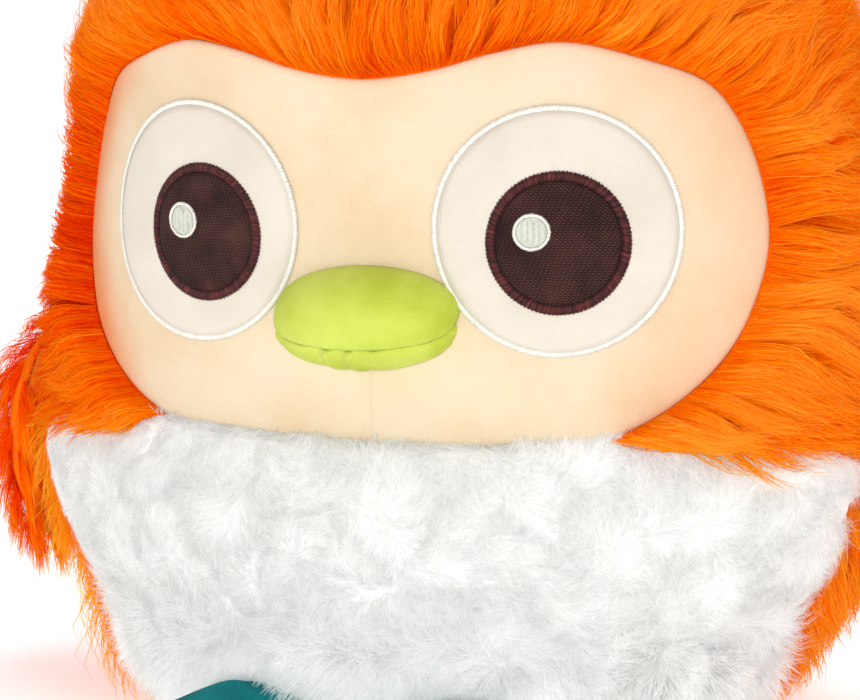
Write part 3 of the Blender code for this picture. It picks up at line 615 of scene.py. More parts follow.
for side, name in ((1, "left"), (-1, "right")):
    rng = np.random.default_rng(20 + side)
    girth = side * EYE_GIRTH
    across = PUPIL_ACROSS - side * PUPIL_INWARD
    pupil_spot = np.array([across, -PUPIL_DROP])
    light_spot = np.array([across + HIGHLIGHT_ACROSS, HIGHLIGHT_RISE - PUPIL_DROP])
    rounds = (
        ("eye_white", "eye_disc", EYE_RADIUS - EYE_STITCH + CLOTH_TUCK, 0.0005, on_face,
         DISC_CLOTH, np.zeros(2), cream_velboa, "cream_plush"),
        ("pupil_cloth", "pupil", PUPIL_RADIUS - PUPIL_STITCH + CLOTH_TUCK, 0.0003, on_disc,
         PUPIL_CLOTH, pupil_spot, brown_twill, "brown_twill"),
        ("highlight_cloth", "highlight", HIGHLIGHT_RADIUS - HIGHLIGHT_STITCH, 0.0, on_pupil,
         0.0002, light_spot, off_white_satin, "white_satin_thread"),
    )
    for label, node, radius, swell, low, thickness, spot, material, finish in rounds:
        piece = sewn_round(f"{label}_{name}", radius, swell, low, thickness, spot, girth, material)
        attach(piece, "root")
        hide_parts(f"{node}_{name}")
    rings = (
        ("eye_edge", "eye_stitching", EYE_RADIUS, EYE_STITCH, np.zeros(2), (600, 1), on_face,
         (0.0006, 0.0005), white_satin, "white_satin_thread"),
        ("pupil_edge", "pupil_stitching", PUPIL_RADIUS, PUPIL_STITCH, pupil_spot, (440, 2), on_disc,
         (0.0014, 0.00042), brown_satin, "brown_satin_thread"),
        ("highlight_rim", "highlight_edge", HIGHLIGHT_RADIUS, HIGHLIGHT_STITCH, light_spot, (110, 1),
         on_pupil, (0.0006, 0.0004), white_satin, "white_satin_thread"),
    )
    for label, node, radius, width, spot, counts, low, bulk, material, finish in rings:
        flat = satin_ring(radius, width, spot, *counts, low, *bulk, rng)
        points = lay_on_face(flat.reshape(-1, 3), girth, EYE_HEIGHT).reshape(flat.shape)
        # The inner ends of the red-brown pupil stitches are darkened: a painted shadow line where the
        # ring meets the twill.
        sunk = 0.55 * (places(thread)[:, 1] < 0.01) * (label == "pupil_edge")
        tones = thread_tones(points, rng, 0.22) - sunk
        piece = repeated(f"{label}_{name}", thread, points, material, tone=tones)
        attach(piece, "root")
        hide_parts(f"{node}_{name}")
    flat = herringbone(HIGHLIGHT_RADIUS - HIGHLIGHT_STITCH, light_spot, on_pupil + 0.0003)
    points = lay_on_face(flat.reshape(-1, 3), girth, EYE_HEIGHT).reshape(flat.shape)
    tones = thread_tones(points, rng, 0.2)
    fill = repeated(f"highlight_fill_{name}", thread, points, off_white_satin, tone=tones)
    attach(fill, "root")


# The beak is a small cushion of lime velboa. A big upper panel curls over the front and meets a
# narrow, puckered lower panel in a seam that runs low across it. It is hand-sewn to the face.
BEAK_HEIGHT = EYE_HEIGHT - 0.0255
BEAK_HALF_WIDTH = 0.0277
BEAK_HALF_HEIGHT = 0.015
BEAK_DEPTH = 0.017
BEAK_SQUARENESS = 0.74
BEAK_LEAN = 0.13
BEAK_SEAM_ANGLE = math.radians(-31)
BEAK_CORNER_ANGLE = math.radians(88)
BEAK_RIM_ANGLE = math.radians(88)
BEAK_CLOTH = 0.0012


def blank_grid(columns, rows):
    """A square blank, 1 by 1."""
    bm = bmesh.new()
    bmesh.ops.create_grid(bm, x_segments=columns, y_segments=rows, size=1 / 2)
    bmesh.ops.translate(bm, verts=bm.verts[:], vec=(1 / 2, 1 / 2, 0))
    return bm


def beak_places(blank, low_angle, high_angle, puckers, sink):
    """One panel of the beak, drawn in along the seam and gathered in small puckers beside it."""
    lean = (blank[:, 0] * 2 - 1) * BEAK_CORNER_ANGLE
    way = low_angle + (high_angle - low_angle) * blank[:, 1]
    from_seam = np.abs(way - BEAK_SEAM_ANGLE) * BEAK_HALF_HEIGHT * np.cos(lean)
    crease = np.exp(-from_seam / 0.0009) * 0.0008
    fold = np.sin(lean * 17 + 2.2 * np.sin(lean * 5)) * np.cos(lean) ** 0.5
    fold = fold * (0.35 + 1.3 * np.exp(-(((lean + 0.08) / 0.35) ** 2)))
    gather = puckers * fold * np.exp(-from_seam / 0.007) * np.minimum(from_seam / 0.0006, 1)
    sunk = sink + crease - gather
    x = (BEAK_HALF_WIDTH - sunk) * np.sin(lean)
    y = (BEAK_HALF_HEIGHT - sunk) * np.cos(lean) ** BEAK_SQUARENESS * np.sin(way)
    z = FACE_PILE + (BEAK_DEPTH - sunk) * np.cos(lean) * np.cos(way)
    return np.column_stack([x + BEAK_LEAN * y, y, z])


lime_velboa = velboa_material("lime velboa", "BDCD40", "CEDD5A", "D9E66C", 2200, 55, 0.0004, 0.1)
panels = (
    ("beak_top", "beak_upper_panel", BEAK_SEAM_ANGLE, BEAK_RIM_ANGLE, 0.0002, 44),
    ("beak_bottom", "beak_lower_panel", -BEAK_RIM_ANGLE, BEAK_SEAM_ANGLE, 0.0009, 30),
)
for label, node, low, high, puckers, rows in panels:
    bm = blank_grid(110, rows)
    flat = beak_places(places(bm), low, high, puckers, 0)
    set_places(bm, lay_on_face(flat, 0, BEAK_HEIGHT))
    bmesh.ops.remove_doubles(bm, verts=bm.verts[:], dist=1e-5)
    panel = lined(finished(label, bm, lime_velboa), BEAK_CLOTH)
    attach(panel, "root")
    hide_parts(node)
bm = blank_grid(30, 24)
flat = beak_places(places(bm), -BEAK_RIM_ANGLE, BEAK_RIM_ANGLE, 0, BEAK_CLOTH + CLEARANCE)
set_places(bm, lay_on_face(flat, 0, BEAK_HEIGHT))
beak_core = finished("beak_core", bm, fibrefill)
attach(beak_core, "root")
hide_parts("beak_stuffing")


# The belly is white curly pile cloth. Its short soft hairs lie in low rounded curls, so it looks like
# a heap of small clouds. Longer wisps stand out along its edges and fall over the tops of the feet.
HEM_HEIGHT = 0.0018
BELLY_EDGE_SHARE = 0.412
BELLY_PILE = 0.008
CURL_SPACING = 0.0155
CURL_RISE = 0.0012
CURL_DRIFT = 0.0035
PILE_ROUND = 0.012
HEM_ROUND = 0.004
CHIN_ROUND = 0.006
CURL_STEPS = 2
CURL_THINNESS = 0.7
# Strength of a painted glow in the white pile: painted light standing in for light scattered between
# its hairs.
PAINTED_GLOW = 0.065
WISP_BAND = 0.024
WISP_HEIGHT = 0.029
WISP_SPACING = 0.0035
WISP_COUNT = 1300
WISP_STEPS = 5


def eased(count):
    """Shares from 0 to 1 that crowd together at both ends."""
    return (1 - np.cos(np.linspace(0, math.pi, count + 1))) / 2


def neck_line(front_count, back_count):
    """Shares of the tape and heights from the face's corner to the nape."""
    start = corner_flat[0] / half_tape(corner_flat[1])[0]
    front = start + (BELLY_EDGE_SHARE - start) * eased(front_count)
    back = BELLY_EDGE_SHARE + (1 - BELLY_EDGE_SHARE) * np.linspace(0, 1, back_count + 1)
    shares = np.concatenate([front, back[1:]])
    drop = np.minimum((shares - start) / (BELLY_EDGE_SHARE - start), 1)
    heights = corner_flat[1] + (CHIN_HEIGHT - corner_flat[1]) * drop
    return shares, heights


def body_rows(shares, heights, rows):
    """Skin points from the hem up to a top seam, given by its shares and heights."""
    grid = []
    for rise in np.linspace(0, 1, rows + 1):
        level = HEM_HEIGHT + (heights - HEM_HEIGHT) * rise
        grid.append(around(shares * half_tape(level), level))
    return np.array(grid)


def search_tree(points):
    """A tree that finds the nearest of these points by their numbers."""
    tree = KDTree(len(points))
    for number, point in enumerate(points):
        tree.insert(point, number)
    tree.balance()
    return tree


def nearest_gap(points, line):
    """Distance from each point to the closest point of a line."""
    tree = search_tree(line)
    return np.array([tree.find(point)[2] for point in points])


def panel_piece(name, grid, rise, material):
    """A panel laid on the form from a grid of skin points, and its closed edges."""
    rows, columns = grid.shape[0] - 1, grid.shape[1] - 1
    bm = blank_grid(columns, rows)
    blank = places(bm)
    column = np.rint(blank[:, 0] * columns).astype(int)
    row = np.rint(blank[:, 1] * rows).astype(int)
    skin = grid[row, column]
    points = lifted(skin, rise(skin))
    points[:, 2] = np.maximum(points[:, 2], 0.0005)
    set_places(bm, points)
    piece = finished(name, bm, material)
    heart = Vector(HEART)
    if sum((face.center - heart).dot(face.normal) for face in piece.data.polygons) < 0:
        piece.data.flip_normals()
    return piece


def spaced(points, gap):
    """The numbers of enough of these points that they lie about a gap apart."""
    tree = search_tree(points)
    taken = np.zeros(len(points), bool)
    kept = []
    for number, point in enumerate(points):
        if not taken[number]:
            kept.append(number)
            taken[[other for _, other, _ in tree.find_range(point, gap)]] = True
    return kept


def roots_on(piece, count, rng):
    """Random places spread evenly over a panel, and the way the cloth faces there."""
    mesh = piece.data
    mesh.calc_loop_triangles()
    triples = np.array([triangle.vertices for triangle in mesh.loop_triangles])
    corners = np.array([vert.co for vert in mesh.vertices])[triples]
    facing = np.cross(corners[:, 1] - corners[:, 0], corners[:, 2] - corners[:, 0])
    areas = np.linalg.norm(facing, axis=1)
    pick = rng.choice(len(areas), count, p=areas / areas.sum())
    a, b = rng.random((2, count, 1))
    flip = a + b > 1
    a, b = np.where(flip, 1 - a, a), np.where(flip, 1 - b, b)
    chosen = corners[pick]
    points = chosen[:, 0] + a * (chosen[:, 1] - chosen[:, 0]) + b * (chosen[:, 2] - chosen[:, 0])
    return points, unit(facing[pick])


def soft_noise(points, size, rng):
    """A smooth random height over points, that rises and falls about once in this size."""
    waves = unit(rng.normal(0, 1, (16, 3))) * rng.uniform(0.6, 1.5, (16, 1)) * math.pi / size
    return np.sin(points @ waves.T + rng.uniform(0, 2 * math.pi, 16)).sum(1) * math.sqrt(2 / 16)


def strand_blank(steps):
    """One flat hair that tapers to a point: x across it, y from 0 to 1 along it."""
    bm = bmesh.new()
    bmesh.ops.create_grid(bm, x_segments=1, y_segments=steps, size=1 / 2)
    bmesh.ops.translate(bm, verts=bm.verts[:], vec=(0, 1 / 2, 0))
    tip = [vert for vert in bm.verts if vert.co.y > 0.99]
    bmesh.ops.pointmerge(bm, verts=tip, merge_co=(0, 1, 0))
    bm.verts.index_update()
    return bm


def strand_rows(strand):
    """How far along the hair each corner of its blank lies, from 0 to 1."""
    return places(strand)[:, 1]


def strand_places(strand, spines, facing, width, twist):
    """Places of flat hairs along their spines, each turned about itself by its own twist."""
    blank = places(strand)
    steps = spines.shape[1] - 1
    row = np.rint(blank[:, 1] * steps).astype(int)
    side = np.sign(np.round(blank[:, 0], 3))
    run = unit(np.gradient(spines, axis=1))
    across = unit(np.cross(run, facing))
    over = np.cross(across, run)
    turn = twist[:, None, None]
    across = across * np.cos(turn) + over * np.sin(turn)
    taper = (np.sqrt(1 - blank[:, 1] ** 2) * (0.8 + 0.2 * blank[:, 1])).clip(0, 1)
    half = width[:, None] / 2 * (side * taper)[None]
    return spines[:, row] + across[:, row] * half[..., None]


def see_through(tree, shader, tone, share):
    """Lets a share of the light pass through a hair."""
    through = put(tree, "ShaderNodeBsdfTranslucent", {"Color": tone}).outputs["BSDF"]
    return put(tree, "ShaderNodeMixShader", {0: share, 1: shader, 2: through}).outputs["Shader"]


def curl_material():
    """White polyester pile. Its tone carries painted shade and light, and its faint glow is painted
    light standing in for light scattered between the white hairs.
    """
    material, tree = new_material("white curly pile")
    depth = attribute(tree, "along")
    tone = ramp(tree, depth, ((0.0, "ECECEC"), (0.4, "F6F6F5"), (0.9, "FEFEFE")))
    glow = ramp(tree, depth, ((0.2, "747474"), (0.9, "FFFFFF")))
    strength = PAINTED_GLOW / (1 - CURL_THINNESS)
    shader = shaded(tree, tone, 0.9, gloss=0.15, sheen=0.1, glow=glow, glow_strength=strength)
    return covered(material, see_through(tree, shader, tone, CURL_THINNESS))


curl_hair = strand_blank(CURL_STEPS)
rng = np.random.default_rng(31)
neck_shares, neck_heights = neck_line(26, 60)
chin_flat = even_steps(outline_line[: corner_at + 1], 60)
chin_shares = chin_flat[:, 0] / half_tape(chin_flat[:, 1])
half_shares = np.concatenate([chin_shares, neck_shares[1:27]])
half_heights = np.concatenate([chin_flat[:, 1], neck_heights[1:27]])
half_grid = body_rows(half_shares, half_heights, 62)
belly_grid = np.concatenate([(half_grid * [-1, 1, 1])[:, ::-1][:, :-1], half_grid], axis=1)
chin_line = around(chin_flat[:, 0], chin_flat[:, 1])
chin_line = np.vstack([chin_line[::-1] * [-1, 1, 1], chin_line])
side_top = belly_grid[-1][np.abs(belly_grid[-1][:, 0]) > chin_line[:, 0].max()]
side_edges = np.vstack([belly_grid[:, 0], belly_grid[:, -1]])
curl_seeds = belly_grid.reshape(-1, 3)[rng.permutation(belly_grid.size // 3)]
curls = curl_seeds[spaced(curl_seeds, CURL_SPACING)]
curl_tree = search_tree(curls)


def curl_at(points):
    """The number of the nearest curl, and how far each point is into it, from 0 to 1."""
    drift = [soft_noise(points, 0.02, np.random.default_rng(seed)) for seed in (33, 34, 35)]
    found = [curl_tree.find_n(point, 2) for point in points + CURL_DRIFT * np.column_stack(drift)]
    own = np.array([pair[0][1] for pair in found])
    gap = np.array([pair[1][2] - pair[0][2] for pair in found])
    return own, np.clip(gap / (CURL_SPACING * 0.8), 0, 1)


def belly_rise(skin):
    away = np.minimum(nearest_gap(skin, side_top) / PILE_ROUND, 1)
    away = np.minimum(away, nearest_gap(skin, belly_grid[0]) / HEM_ROUND)
    away = np.minimum(away, nearest_gap(skin, chin_line) / CHIN_ROUND)
    pile = BELLY_PILE * np.sqrt(1 - (1 - away) ** 2)
    crown = np.sin(curl_at(skin)[1] * math.pi / 2) ** 0.8
    return 0.001 + (pile - 0.001) * 0.74 + CURL_RISE * (crown - 0.75) * away


def curly_cloth_material():
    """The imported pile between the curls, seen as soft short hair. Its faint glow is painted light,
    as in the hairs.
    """
    material, tree = new_material("white pile cloth")
    hairs = noise(tree, 900, 5, 0.7)
    tone = ramp(tree, hairs, ((0.3, "ECECEB"), (0.65, "F4F4F4")))
    light = {"glow": tone, "glow_strength": PAINTED_GLOW / 2, "relief": grain(tree, hairs, 0.0006)}
    return covered(material, shaded(tree, tone, 1.0, gloss=0.1, sheen=0.3, **light))


belly = lined(panel_piece("belly", belly_grid, belly_rise, curly_cloth_material()), 0.002)
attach(belly, "root")
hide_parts("belly_panel")

curl_pile = curl_material()


def short_pile(name, roots, facing, rng):
    """Short soft hairs that lie over the curls, and turn outwards along the edges."""
    own, inside = curl_at(roots)
    away = roots - curls[own]
    away = unit(away - dot(away, facing) * facing)
    rise = unit(UP - dot(UP, facing) * facing)
    across = np.cross(rise, facing)
    turn = 1.9 * soft_noise(roots, 0.024, np.random.default_rng(36)) + np.sin(own * 12.9898) * 1.2
    lie = across * np.cos(turn)[:, None] + rise * np.sin(turn)[:, None]
    chin = np.clip(1 - nearest_gap(roots, chin_line) / 0.007, 0, 1)[:, None]
    side = np.clip(1 - nearest_gap(roots, side_edges) / 0.010, 0, 1)[:, None]
    low = np.clip(1.8 - roots[:, 2:] / 0.025, 0, 1) * (roots[:, 1:2] < -0.02)
    left = (roots[:, :1] > 0) * side
    lie = lie + 0.2 * away + rise * (1.6 * chin - 1.2 * low)
    lie = lie + across * np.sign(roots[:, :1]) * (0.8 * side + 1.6 * left)
    lie = unit(lie + rng.normal(0, 0.26, lie.shape))
    lie = unit(lie - dot(lie, facing) * facing)
    skirt = unit(facing * [1, 1, 0]) * 0.6 - UP * 0.8 + rng.normal(0, 0.15, lie.shape)
    lie = unit(lie * (1 - low) + skirt * low)
    bend = np.cross(facing, lie) * rng.normal(0, 0.5, (len(roots), 1))
    longer = 1 + 1.0 * left + 0.5 * low
    length = (rng.uniform(0.0045, 0.0080, (len(roots), 1)) * longer)[..., None]
    along = np.linspace(0, 1, CURL_STEPS + 1)[None, :, None]
    stand = rng.uniform(0.0004, 0.0022, (len(roots), 1))
    stand = (stand + 0.0010 * chin + 0.0035 * low)[..., None]
    spines = roots[:, None] + lie[:, None] * along * length
    spines = spines + bend[:, None] * along**2 * length
    spines = spines + facing[:, None] * (np.sin(along * math.pi * 0.75) * stand - 0.0003)
    spines[..., 2] = np.maximum(spines[..., 2], 0.0012)
    width = rng.uniform(0.00024, 0.0004, len(roots))
    twist = rng.normal(0, 0.35, len(roots))
    points = strand_places(curl_hair, spines, facing[:, None], width, twist)
    # The 'along' attribute is painted shade and light: hairs are darker at the root and in the hollows
    # between curls, lighter at the tips and on the curls' crowns, and much lighter low in the middle
    # of the belly, painted light over the shade under it. The rest is random tone.
    tone = rng.normal(0, 0.25, (len(roots), 1))
    middle = np.clip((0.08 - np.abs(roots[:, :1])) / 0.04, 0, 1)
    tone = tone + 0.15 + 0.2 * inside[:, None] + 0.5 * low * middle
    shade = np.clip(strand_rows(curl_hair)[None] * 0.4 + tone, 0, 1)
    return repeated(name, curl_hair, points, curl_pile, along=shade)


for number in range(3):
    fringe = number == 2
    roots, facing = roots_on(belly, 240000 if fringe else 58000, rng)
    if fringe:
        near = (roots[:, 2] > 0.078) & (np.abs(roots[:, 0]) < 0.075)
        roots, facing = roots[near], facing[near]
        kept = nearest_gap(roots, chin_line) < 0.004
    else:
        kept = nearest_gap(roots, side_top) > 0.003
    name = "belly_fringe" if fringe else f"belly_curls_{number + 1}"
    pile = short_pile(name, roots[kept], facing[kept], rng)
    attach(pile, "root")


wisp = strand_blank(WISP_STEPS)
roots, facing = roots_on(belly, 120000, rng)
middle = (np.abs(roots[:, 0]) < WISP_BAND) & (roots[:, 1] < -0.05)
kept = middle & (np.abs(roots[:, 2] - WISP_HEIGHT) < WISP_BAND / 4)
roots, facing = roots[kept][:WISP_COUNT], facing[kept][:WISP_COUNT]
tufts = roots[spaced(roots, WISP_SPACING)]
own = np.array([int(np.argmin(((tufts - root) ** 2).sum(1))) for root in roots])
lean = np.sign(tufts[:, :1]) * rng.uniform(0.1, 0.8, (len(tufts), 1)) * ASIDE
way = unit(outward(tufts) * [1, 1, 0.3] + lean + rng.normal(0, 0.28, tufts.shape))
reach = (rng.uniform(0.012, 0.021, len(tufts))[own] * rng.uniform(0.6, 1, len(roots)))[:, None, None]
share = np.linspace(0, 1, WISP_STEPS + 1)[None, :, None]
spines = roots[:, None] + (way[own] + rng.normal(0, 0.16, roots.shape))[:, None] * share * reach
spines = spines - UP * share**2 * reach * 0.6
spines[..., 2] = np.maximum(spines[..., 2], 0.0012)
width = rng.uniform(0.0002, 0.00032, len(roots))
points = strand_places(wisp, spines, facing[:, None], width, rng.normal(0, 0.4, len(roots)))
shade = np.clip(0.7 + rng.normal(0, 0.25, (len(roots), 1)) + 0 * strand_rows(wisp)[None], 0, 1)
wisps = repeated("belly_wisps", wisp, points, curl_pile, along=shade)
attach(wisps, "root")


# The hood is two long-pile orange panels that meet over the crown and down the back of the head. The
# pile is about 4 cm long and brushed away from the face, so that it lies back in pointed locks.
CLOTH = 0.001
LOCK_STEPS = 10
LOCK_SPACING = 0.0040
HAIR_STEPS = 4
EDGE_BAND = 0.007
FACE_MIDDLE = np.array([0.0, -0.085, 0.138])


def middle_line(start, end, count):
    """Equal steps over the form in the middle plane, from start to end."""
    share = np.linspace(0, 1, 24 * count + 1)[:, None]
    ways = unit((1 - share) * unit(start - HEART) + share * unit(end - HEART))
    line = onto_form(HEART + ways)
    line[0], line[-1] = start, end
    return even_steps(line, count)


def hood_skin(cheek, neck):
    """Skin points between the cheek, the neck, the seam over the crown and the seam behind."""
    nape = neck[-1]
    crown = np.array([0.0, 0.0, CROWN_HEIGHT])
    to_crown = middle_line(cheek[-1], crown, len(neck) - 1)
    up_back = middle_line(nape, crown, len(cheek) - 1)
    v = np.linspace(0, 1, len(cheek))[:, None, None]
    w = np.linspace(0, 1, len(neck))[None, :, None]
    across = (1 - w) * cheek[:, None] + w * up_back[:, None]
    along = (1 - v) * neck[None] + v * to_crown[None]
    lower = (1 - w) * cheek[0] + w * nape
    upper = (1 - w) * cheek[-1] + w * crown
    guess = across + along - (1 - v) * lower - v * upper
    points = onto_form(guess.reshape(-1, 3)).reshape(guess.shape)
    points[0], points[-1] = neck, to_crown
    points[:, 0], points[:, -1] = cheek, up_back
    return points


def brushed(points):
    """The way the pile is brushed: away from the face, over the crown, then down."""
    away = points - FACE_MIDDLE
    behind = np.clip((points[:, 1:2] + 0.025) / 0.08, 0, 1)
    low = np.clip((0.16 - points[:, 2:3]) / 0.06, 0, 1)
    return unit(away) + [0, 0, -1] * (0.9 * behind + 0.1 * low)


def walked_locks(starts, lengths, brush, drift, rng):
    """Lets each lock run over the form the way the pile is brushed, waving a little."""
    at = onto_form(starts)
    facing = outward(at)
    paths, faces = [at], [facing]
    lean = drift * (0.9 * soft_noise(starts, 0.03, rng) + 0.5 * rng.normal(0, 1, len(starts)))
    phase = 1.5 * soft_noise(starts, 0.04, rng) + rng.normal(0, 0.5, len(starts))
    for step in range(LOCK_STEPS):
        way = brush(at)
        way = unit(way - dot(way, facing) * facing)
        turn = (lean * (0.4 + step / LOCK_STEPS) + 0.34 * np.sin(phase + step * 0.75))[:, None]
        way = way * np.cos(turn) + np.cross(facing, way) * np.sin(turn)
        at = onto_form(at + way * (lengths / LOCK_STEPS)[:, None])
        facing = outward(at)
        paths.append(at)
        faces.append(facing)
    return np.stack(paths, axis=1), np.stack(faces, axis=1)


def nearest_lock(roots, starts):
    """The number of the lock that starts nearest to each root."""
    tree = search_tree(starts)
    return np.array([tree.find(point)[1] for point in roots])


def long_pile(name, hair, roots, locks, look, material, rng):
    """Long hairs that gather into locks. Each hair follows the lock nearest to its root."""
    paths, faces, lift, clump, tones = locks
    shortest, fuzz, width, haste = look
    steps = round(1 / np.partition(np.unique(strand_rows(hair)), 1)[1])
    own = nearest_lock(roots, paths[:, 0])
    share = np.linspace(0, 1, steps + 1)
    reach = rng.uniform(shortest, 1.0, len(roots))[:, None] * share[None] * (paths.shape[1] - 1)
    stop = np.minimum(reach.astype(int), paths.shape[1] - 2)
    part = (reach - stop)[..., None]
    picked = own[:, None]
    spines = paths[picked, stop] * (1 - part) + paths[picked, stop + 1] * part
    facing = unit(faces[picked, stop] * (1 - part) + faces[picked, stop + 1] * part)
    offset = roots - paths[own, 0]
    offset = offset - dot(offset, faces[own, 0]) * faces[own, 0]
    gather = (clump[own][:, None] * share[None] ** 1.1)[..., None]
    spines = spines + offset[:, None] * (1 - gather)
    loose = rng.normal(0, 1, (len(roots), 1, 3)) * fuzz * (share**1.5)[None, :, None]
    bow = rng.normal(0, 1, (len(roots), 1, 3)) * fuzz * np.sin(share * math.pi)[None, :, None]
    spines = spines + loose + bow * 0.6
    depth = rng.random(len(roots))
    rise = lift[own] * (0.35 + 0.75 * depth**0.7)
    stand = CLOTH + rise[:, None] * (1 - (1 - share[None]) ** haste)
    spines = spines + facing * stand[..., None]
    spines[..., 2] = np.maximum(spines[..., 2], 0.0015)
    thickness = width * rng.uniform(0.7, 1.3, len(roots))
    twist = rng.normal(0, 0.3, len(roots))
    points = strand_places(hair, spines, facing, thickness, twist)
    # The shade attribute is painted shade and light: hairs that lie lower in the pile, and the parts
    # near their roots, are darker, and the tips are lighter. The lock and hair tones add the rest.
    hair_tone = rng.normal(0, 0.15, (len(roots), 1))
    deep = (depth * 0.34)[:, None]
    shade = 0.10 + 0.42 * strand_rows(hair)[None] + deep + tones[own][:, None] + hair_tone
    return repeated(name, hair, points, material, shade=np.clip(shade, 0, 1))


def lock_looks(paths, faces, low, high, rng):
    """How high each lock stands, how tightly it gathers, and its tone: random dye variation, with
    painted light on locks towards +x and painted shade on the lower flank towards -x.
    """
    starts = paths[:, 0]
    wave = np.clip(0.5 + 0.25 * soft_noise(starts, 0.016, rng), 0, 1)
    mixed = np.clip(wave * 0.65 + rng.random(len(starts)) * 0.35, 0, 1)
    lift = low + (high - low) * mixed
    clump = rng.uniform(0.15, 0.5, len(starts))
    tones = 0.07 * soft_noise(starts, 0.02, rng) + rng.normal(0, 0.05, len(starts))
    # Painted light: locks towards +x are lighter. Painted shade: locks far towards -x, between about
    # 0.09 m and 0.18 m up, are darker.
    tones = tones + 0.16 * np.clip(starts[:, 0] / 0.08, 0, 1)
    shady = np.clip((-starts[:, 0] - 0.08) / 0.03, 0, 1) * np.clip((0.178 - starts[:, 2]) / 0.03, 0, 1)
    tones = tones - 0.42 * shady * np.clip((starts[:, 2] - 0.09) / 0.03, 0, 1)
    return paths, faces, lift, clump, tones


def orange_pile_material():
    """Dyed polyester hair, red to light orange by the shade attribute, which holds painted shade low
    in the pile and painted light at the tips. Its faint glow is painted light that stands in for light
    scattered between the hairs.
    """
    material, tree = new_material("orange long pile")
    stops = (
        (0.0, "F04600"),
        (0.25, "FA7000"),
        (0.5, "FC9800"),
        (0.75, "FCAE0C"),
        (1.0, "FFC440"),
    )
    tone = ramp(tree, attribute(tree, "shade"), stops)
    shader = shaded(tree, tone, 0.8, gloss=0.04, glow=tone, glow_strength=0.06)
    return covered(material, see_through(tree, shader, tone, 0.68))


def orange_cloth_material():
    """The knitted backing under the long pile, dyed the same orange."""
    material, tree = new_material("orange knit backing")
    knit = noise(tree, 1100, 4, 0.7)
    tone = ramp(tree, knit, ((0.3, "FA6400"), (0.7, "FF8818")))
    return covered(material, shaded(tree, tone, 0.95, gloss=0.05, relief=grain(tree, knit, 0.0006)))


orange_cloth = orange_cloth_material()
orange_pile = orange_pile_material()
cheek_flat = even_steps(outline_line[corner_at:], 40)
inward = unit(centre - cheek_flat) * 0.0018
cheek_skin = around(cheek_flat[:, 0] + inward[:, 0], cheek_flat[:, 1] + inward[:, 1])
cheek_skin[-1, 0] = 0
cheek_seam = around(cheek_flat[:, 0], cheek_flat[:, 1])
seam_line = even_steps(cheek_seam, 500)
lap_line = even_steps(cheek_skin, 500)
neck_shares, neck_heights = neck_line(8, 28)
neck_skin = around(neck_shares * half_tape(neck_heights), neck_heights)
hood_left_skin = hood_skin(cheek_skin, neck_skin)
hair = strand_blank(HAIR_STEPS)
short_hair = strand_blank(3)


def mirrored(grid):
    return (grid * [-1, 1, 1])[:, ::-1]


def hood_rise(skin):
    """The backing lies flat, and dips under the edge of the face."""
    edge = np.vstack([seam_line, seam_line * [-1, 1, 1]])
    return CLOTH * (np.clip(nearest_gap(skin, edge) / 0.003, 0, 1) - 0.1)


def seam_roots(seam, inner, band, count, rng):
    """Random roots in a narrow band beside a seam, closer together next to it."""
    place = rng.random(count) * (len(seam) - 1)
    stop = np.minimum(place.astype(int), len(seam) - 2)
    part = (place - stop)[:, None]
    at = seam[stop] * (1 - part) + seam[stop + 1] * part
    way = unit(inner - seam)
    way = way[stop] * (1 - part) + way[stop + 1] * part
    return onto_form(at + way * (band * rng.random(count) ** 1.4)[:, None])


for mirror, name in ((1, "left"), (-1, "right")):
    grid = hood_left_skin if mirror == 1 else mirrored(hood_left_skin)
    rng = np.random.default_rng(41 + len(name))
    hood = lined(panel_piece(f"hood_{name}", grid, hood_rise, orange_cloth), CLOTH + BACKING)
    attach(hood, "root")
    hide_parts(f"hood_panel_{name}")
    lap = lap_line * [mirror, 1, 1]
    many, _ = roots_on(hood, 16000, rng)
    many = many[nearest_gap(many, lap) > 0.0019]
    starts = many[spaced(many, LOCK_SPACING)]
    lengths = 0.036 + 0.006 * soft_noise(starts, 0.03, rng) + rng.uniform(-0.006, 0.006, len(starts))
    neck_gap = nearest_gap(starts, neck_skin[:10] * [mirror, 1, 1])
    lengths = lengths * (1 - 0.35 * np.clip(1 - neck_gap / 0.02, 0, 1))
    paths, faces = walked_locks(starts, lengths, brushed, 0.25, rng)
    locks = lock_looks(paths, faces, 0.0090, 0.0125, rng)
    look = (0.5, 0.0014, 0.00034, 2.6)
    for number in range(2):
        roots, _ = roots_on(hood, 25500, rng)
        roots = roots[nearest_gap(roots, lap) > 0.0019]
        pile = long_pile(f"hood_pile_{name}_{number + 1}", hair, roots, locks, look, orange_pile, rng)
        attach(pile, "root")
    seam = cheek_seam * [mirror, 1, 1]
    inner = hood_left_skin[:, 2] * [mirror, 1, 1]
    roots = seam_roots(seam, inner, EDGE_BAND, 13000, rng)
    look = (0.3, 0.0010, 0.00034, 4.0)
    # Painted light: the fringe's hairs, which stand up along the face's seam, are made lighter.
    locks = (*locks[:4], locks[4] + 0.1)
    fringe = long_pile(f"hood_fringe_{name}", hair, roots, locks, look, orange_pile, rng)
    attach(fringe, "root")


# The back of the body is two more long-pile panels between the belly and the middle seam behind.
# Their pile hangs down, and at the bottom it just brushes the ground.
back_skin = body_rows(neck_shares[8:], neck_heights[8:], 14)


def flat_cloth(skin):
    return np.full(len(skin), CLOTH)


def hanging(points):
    """The way the pile hangs on the body: down, and on the right forward where it meets the belly."""
    forward = np.clip((0.05 - points[:, 1:2]) / 0.06, 0, 1)
    forward = forward * np.where(points[:, :1] < 0, -0.45, 0.35)
    return unit(points * [1.0, 1.0, 0.0]) * 0.3 + [0, 1, 0] * forward + [0, 0, -1]


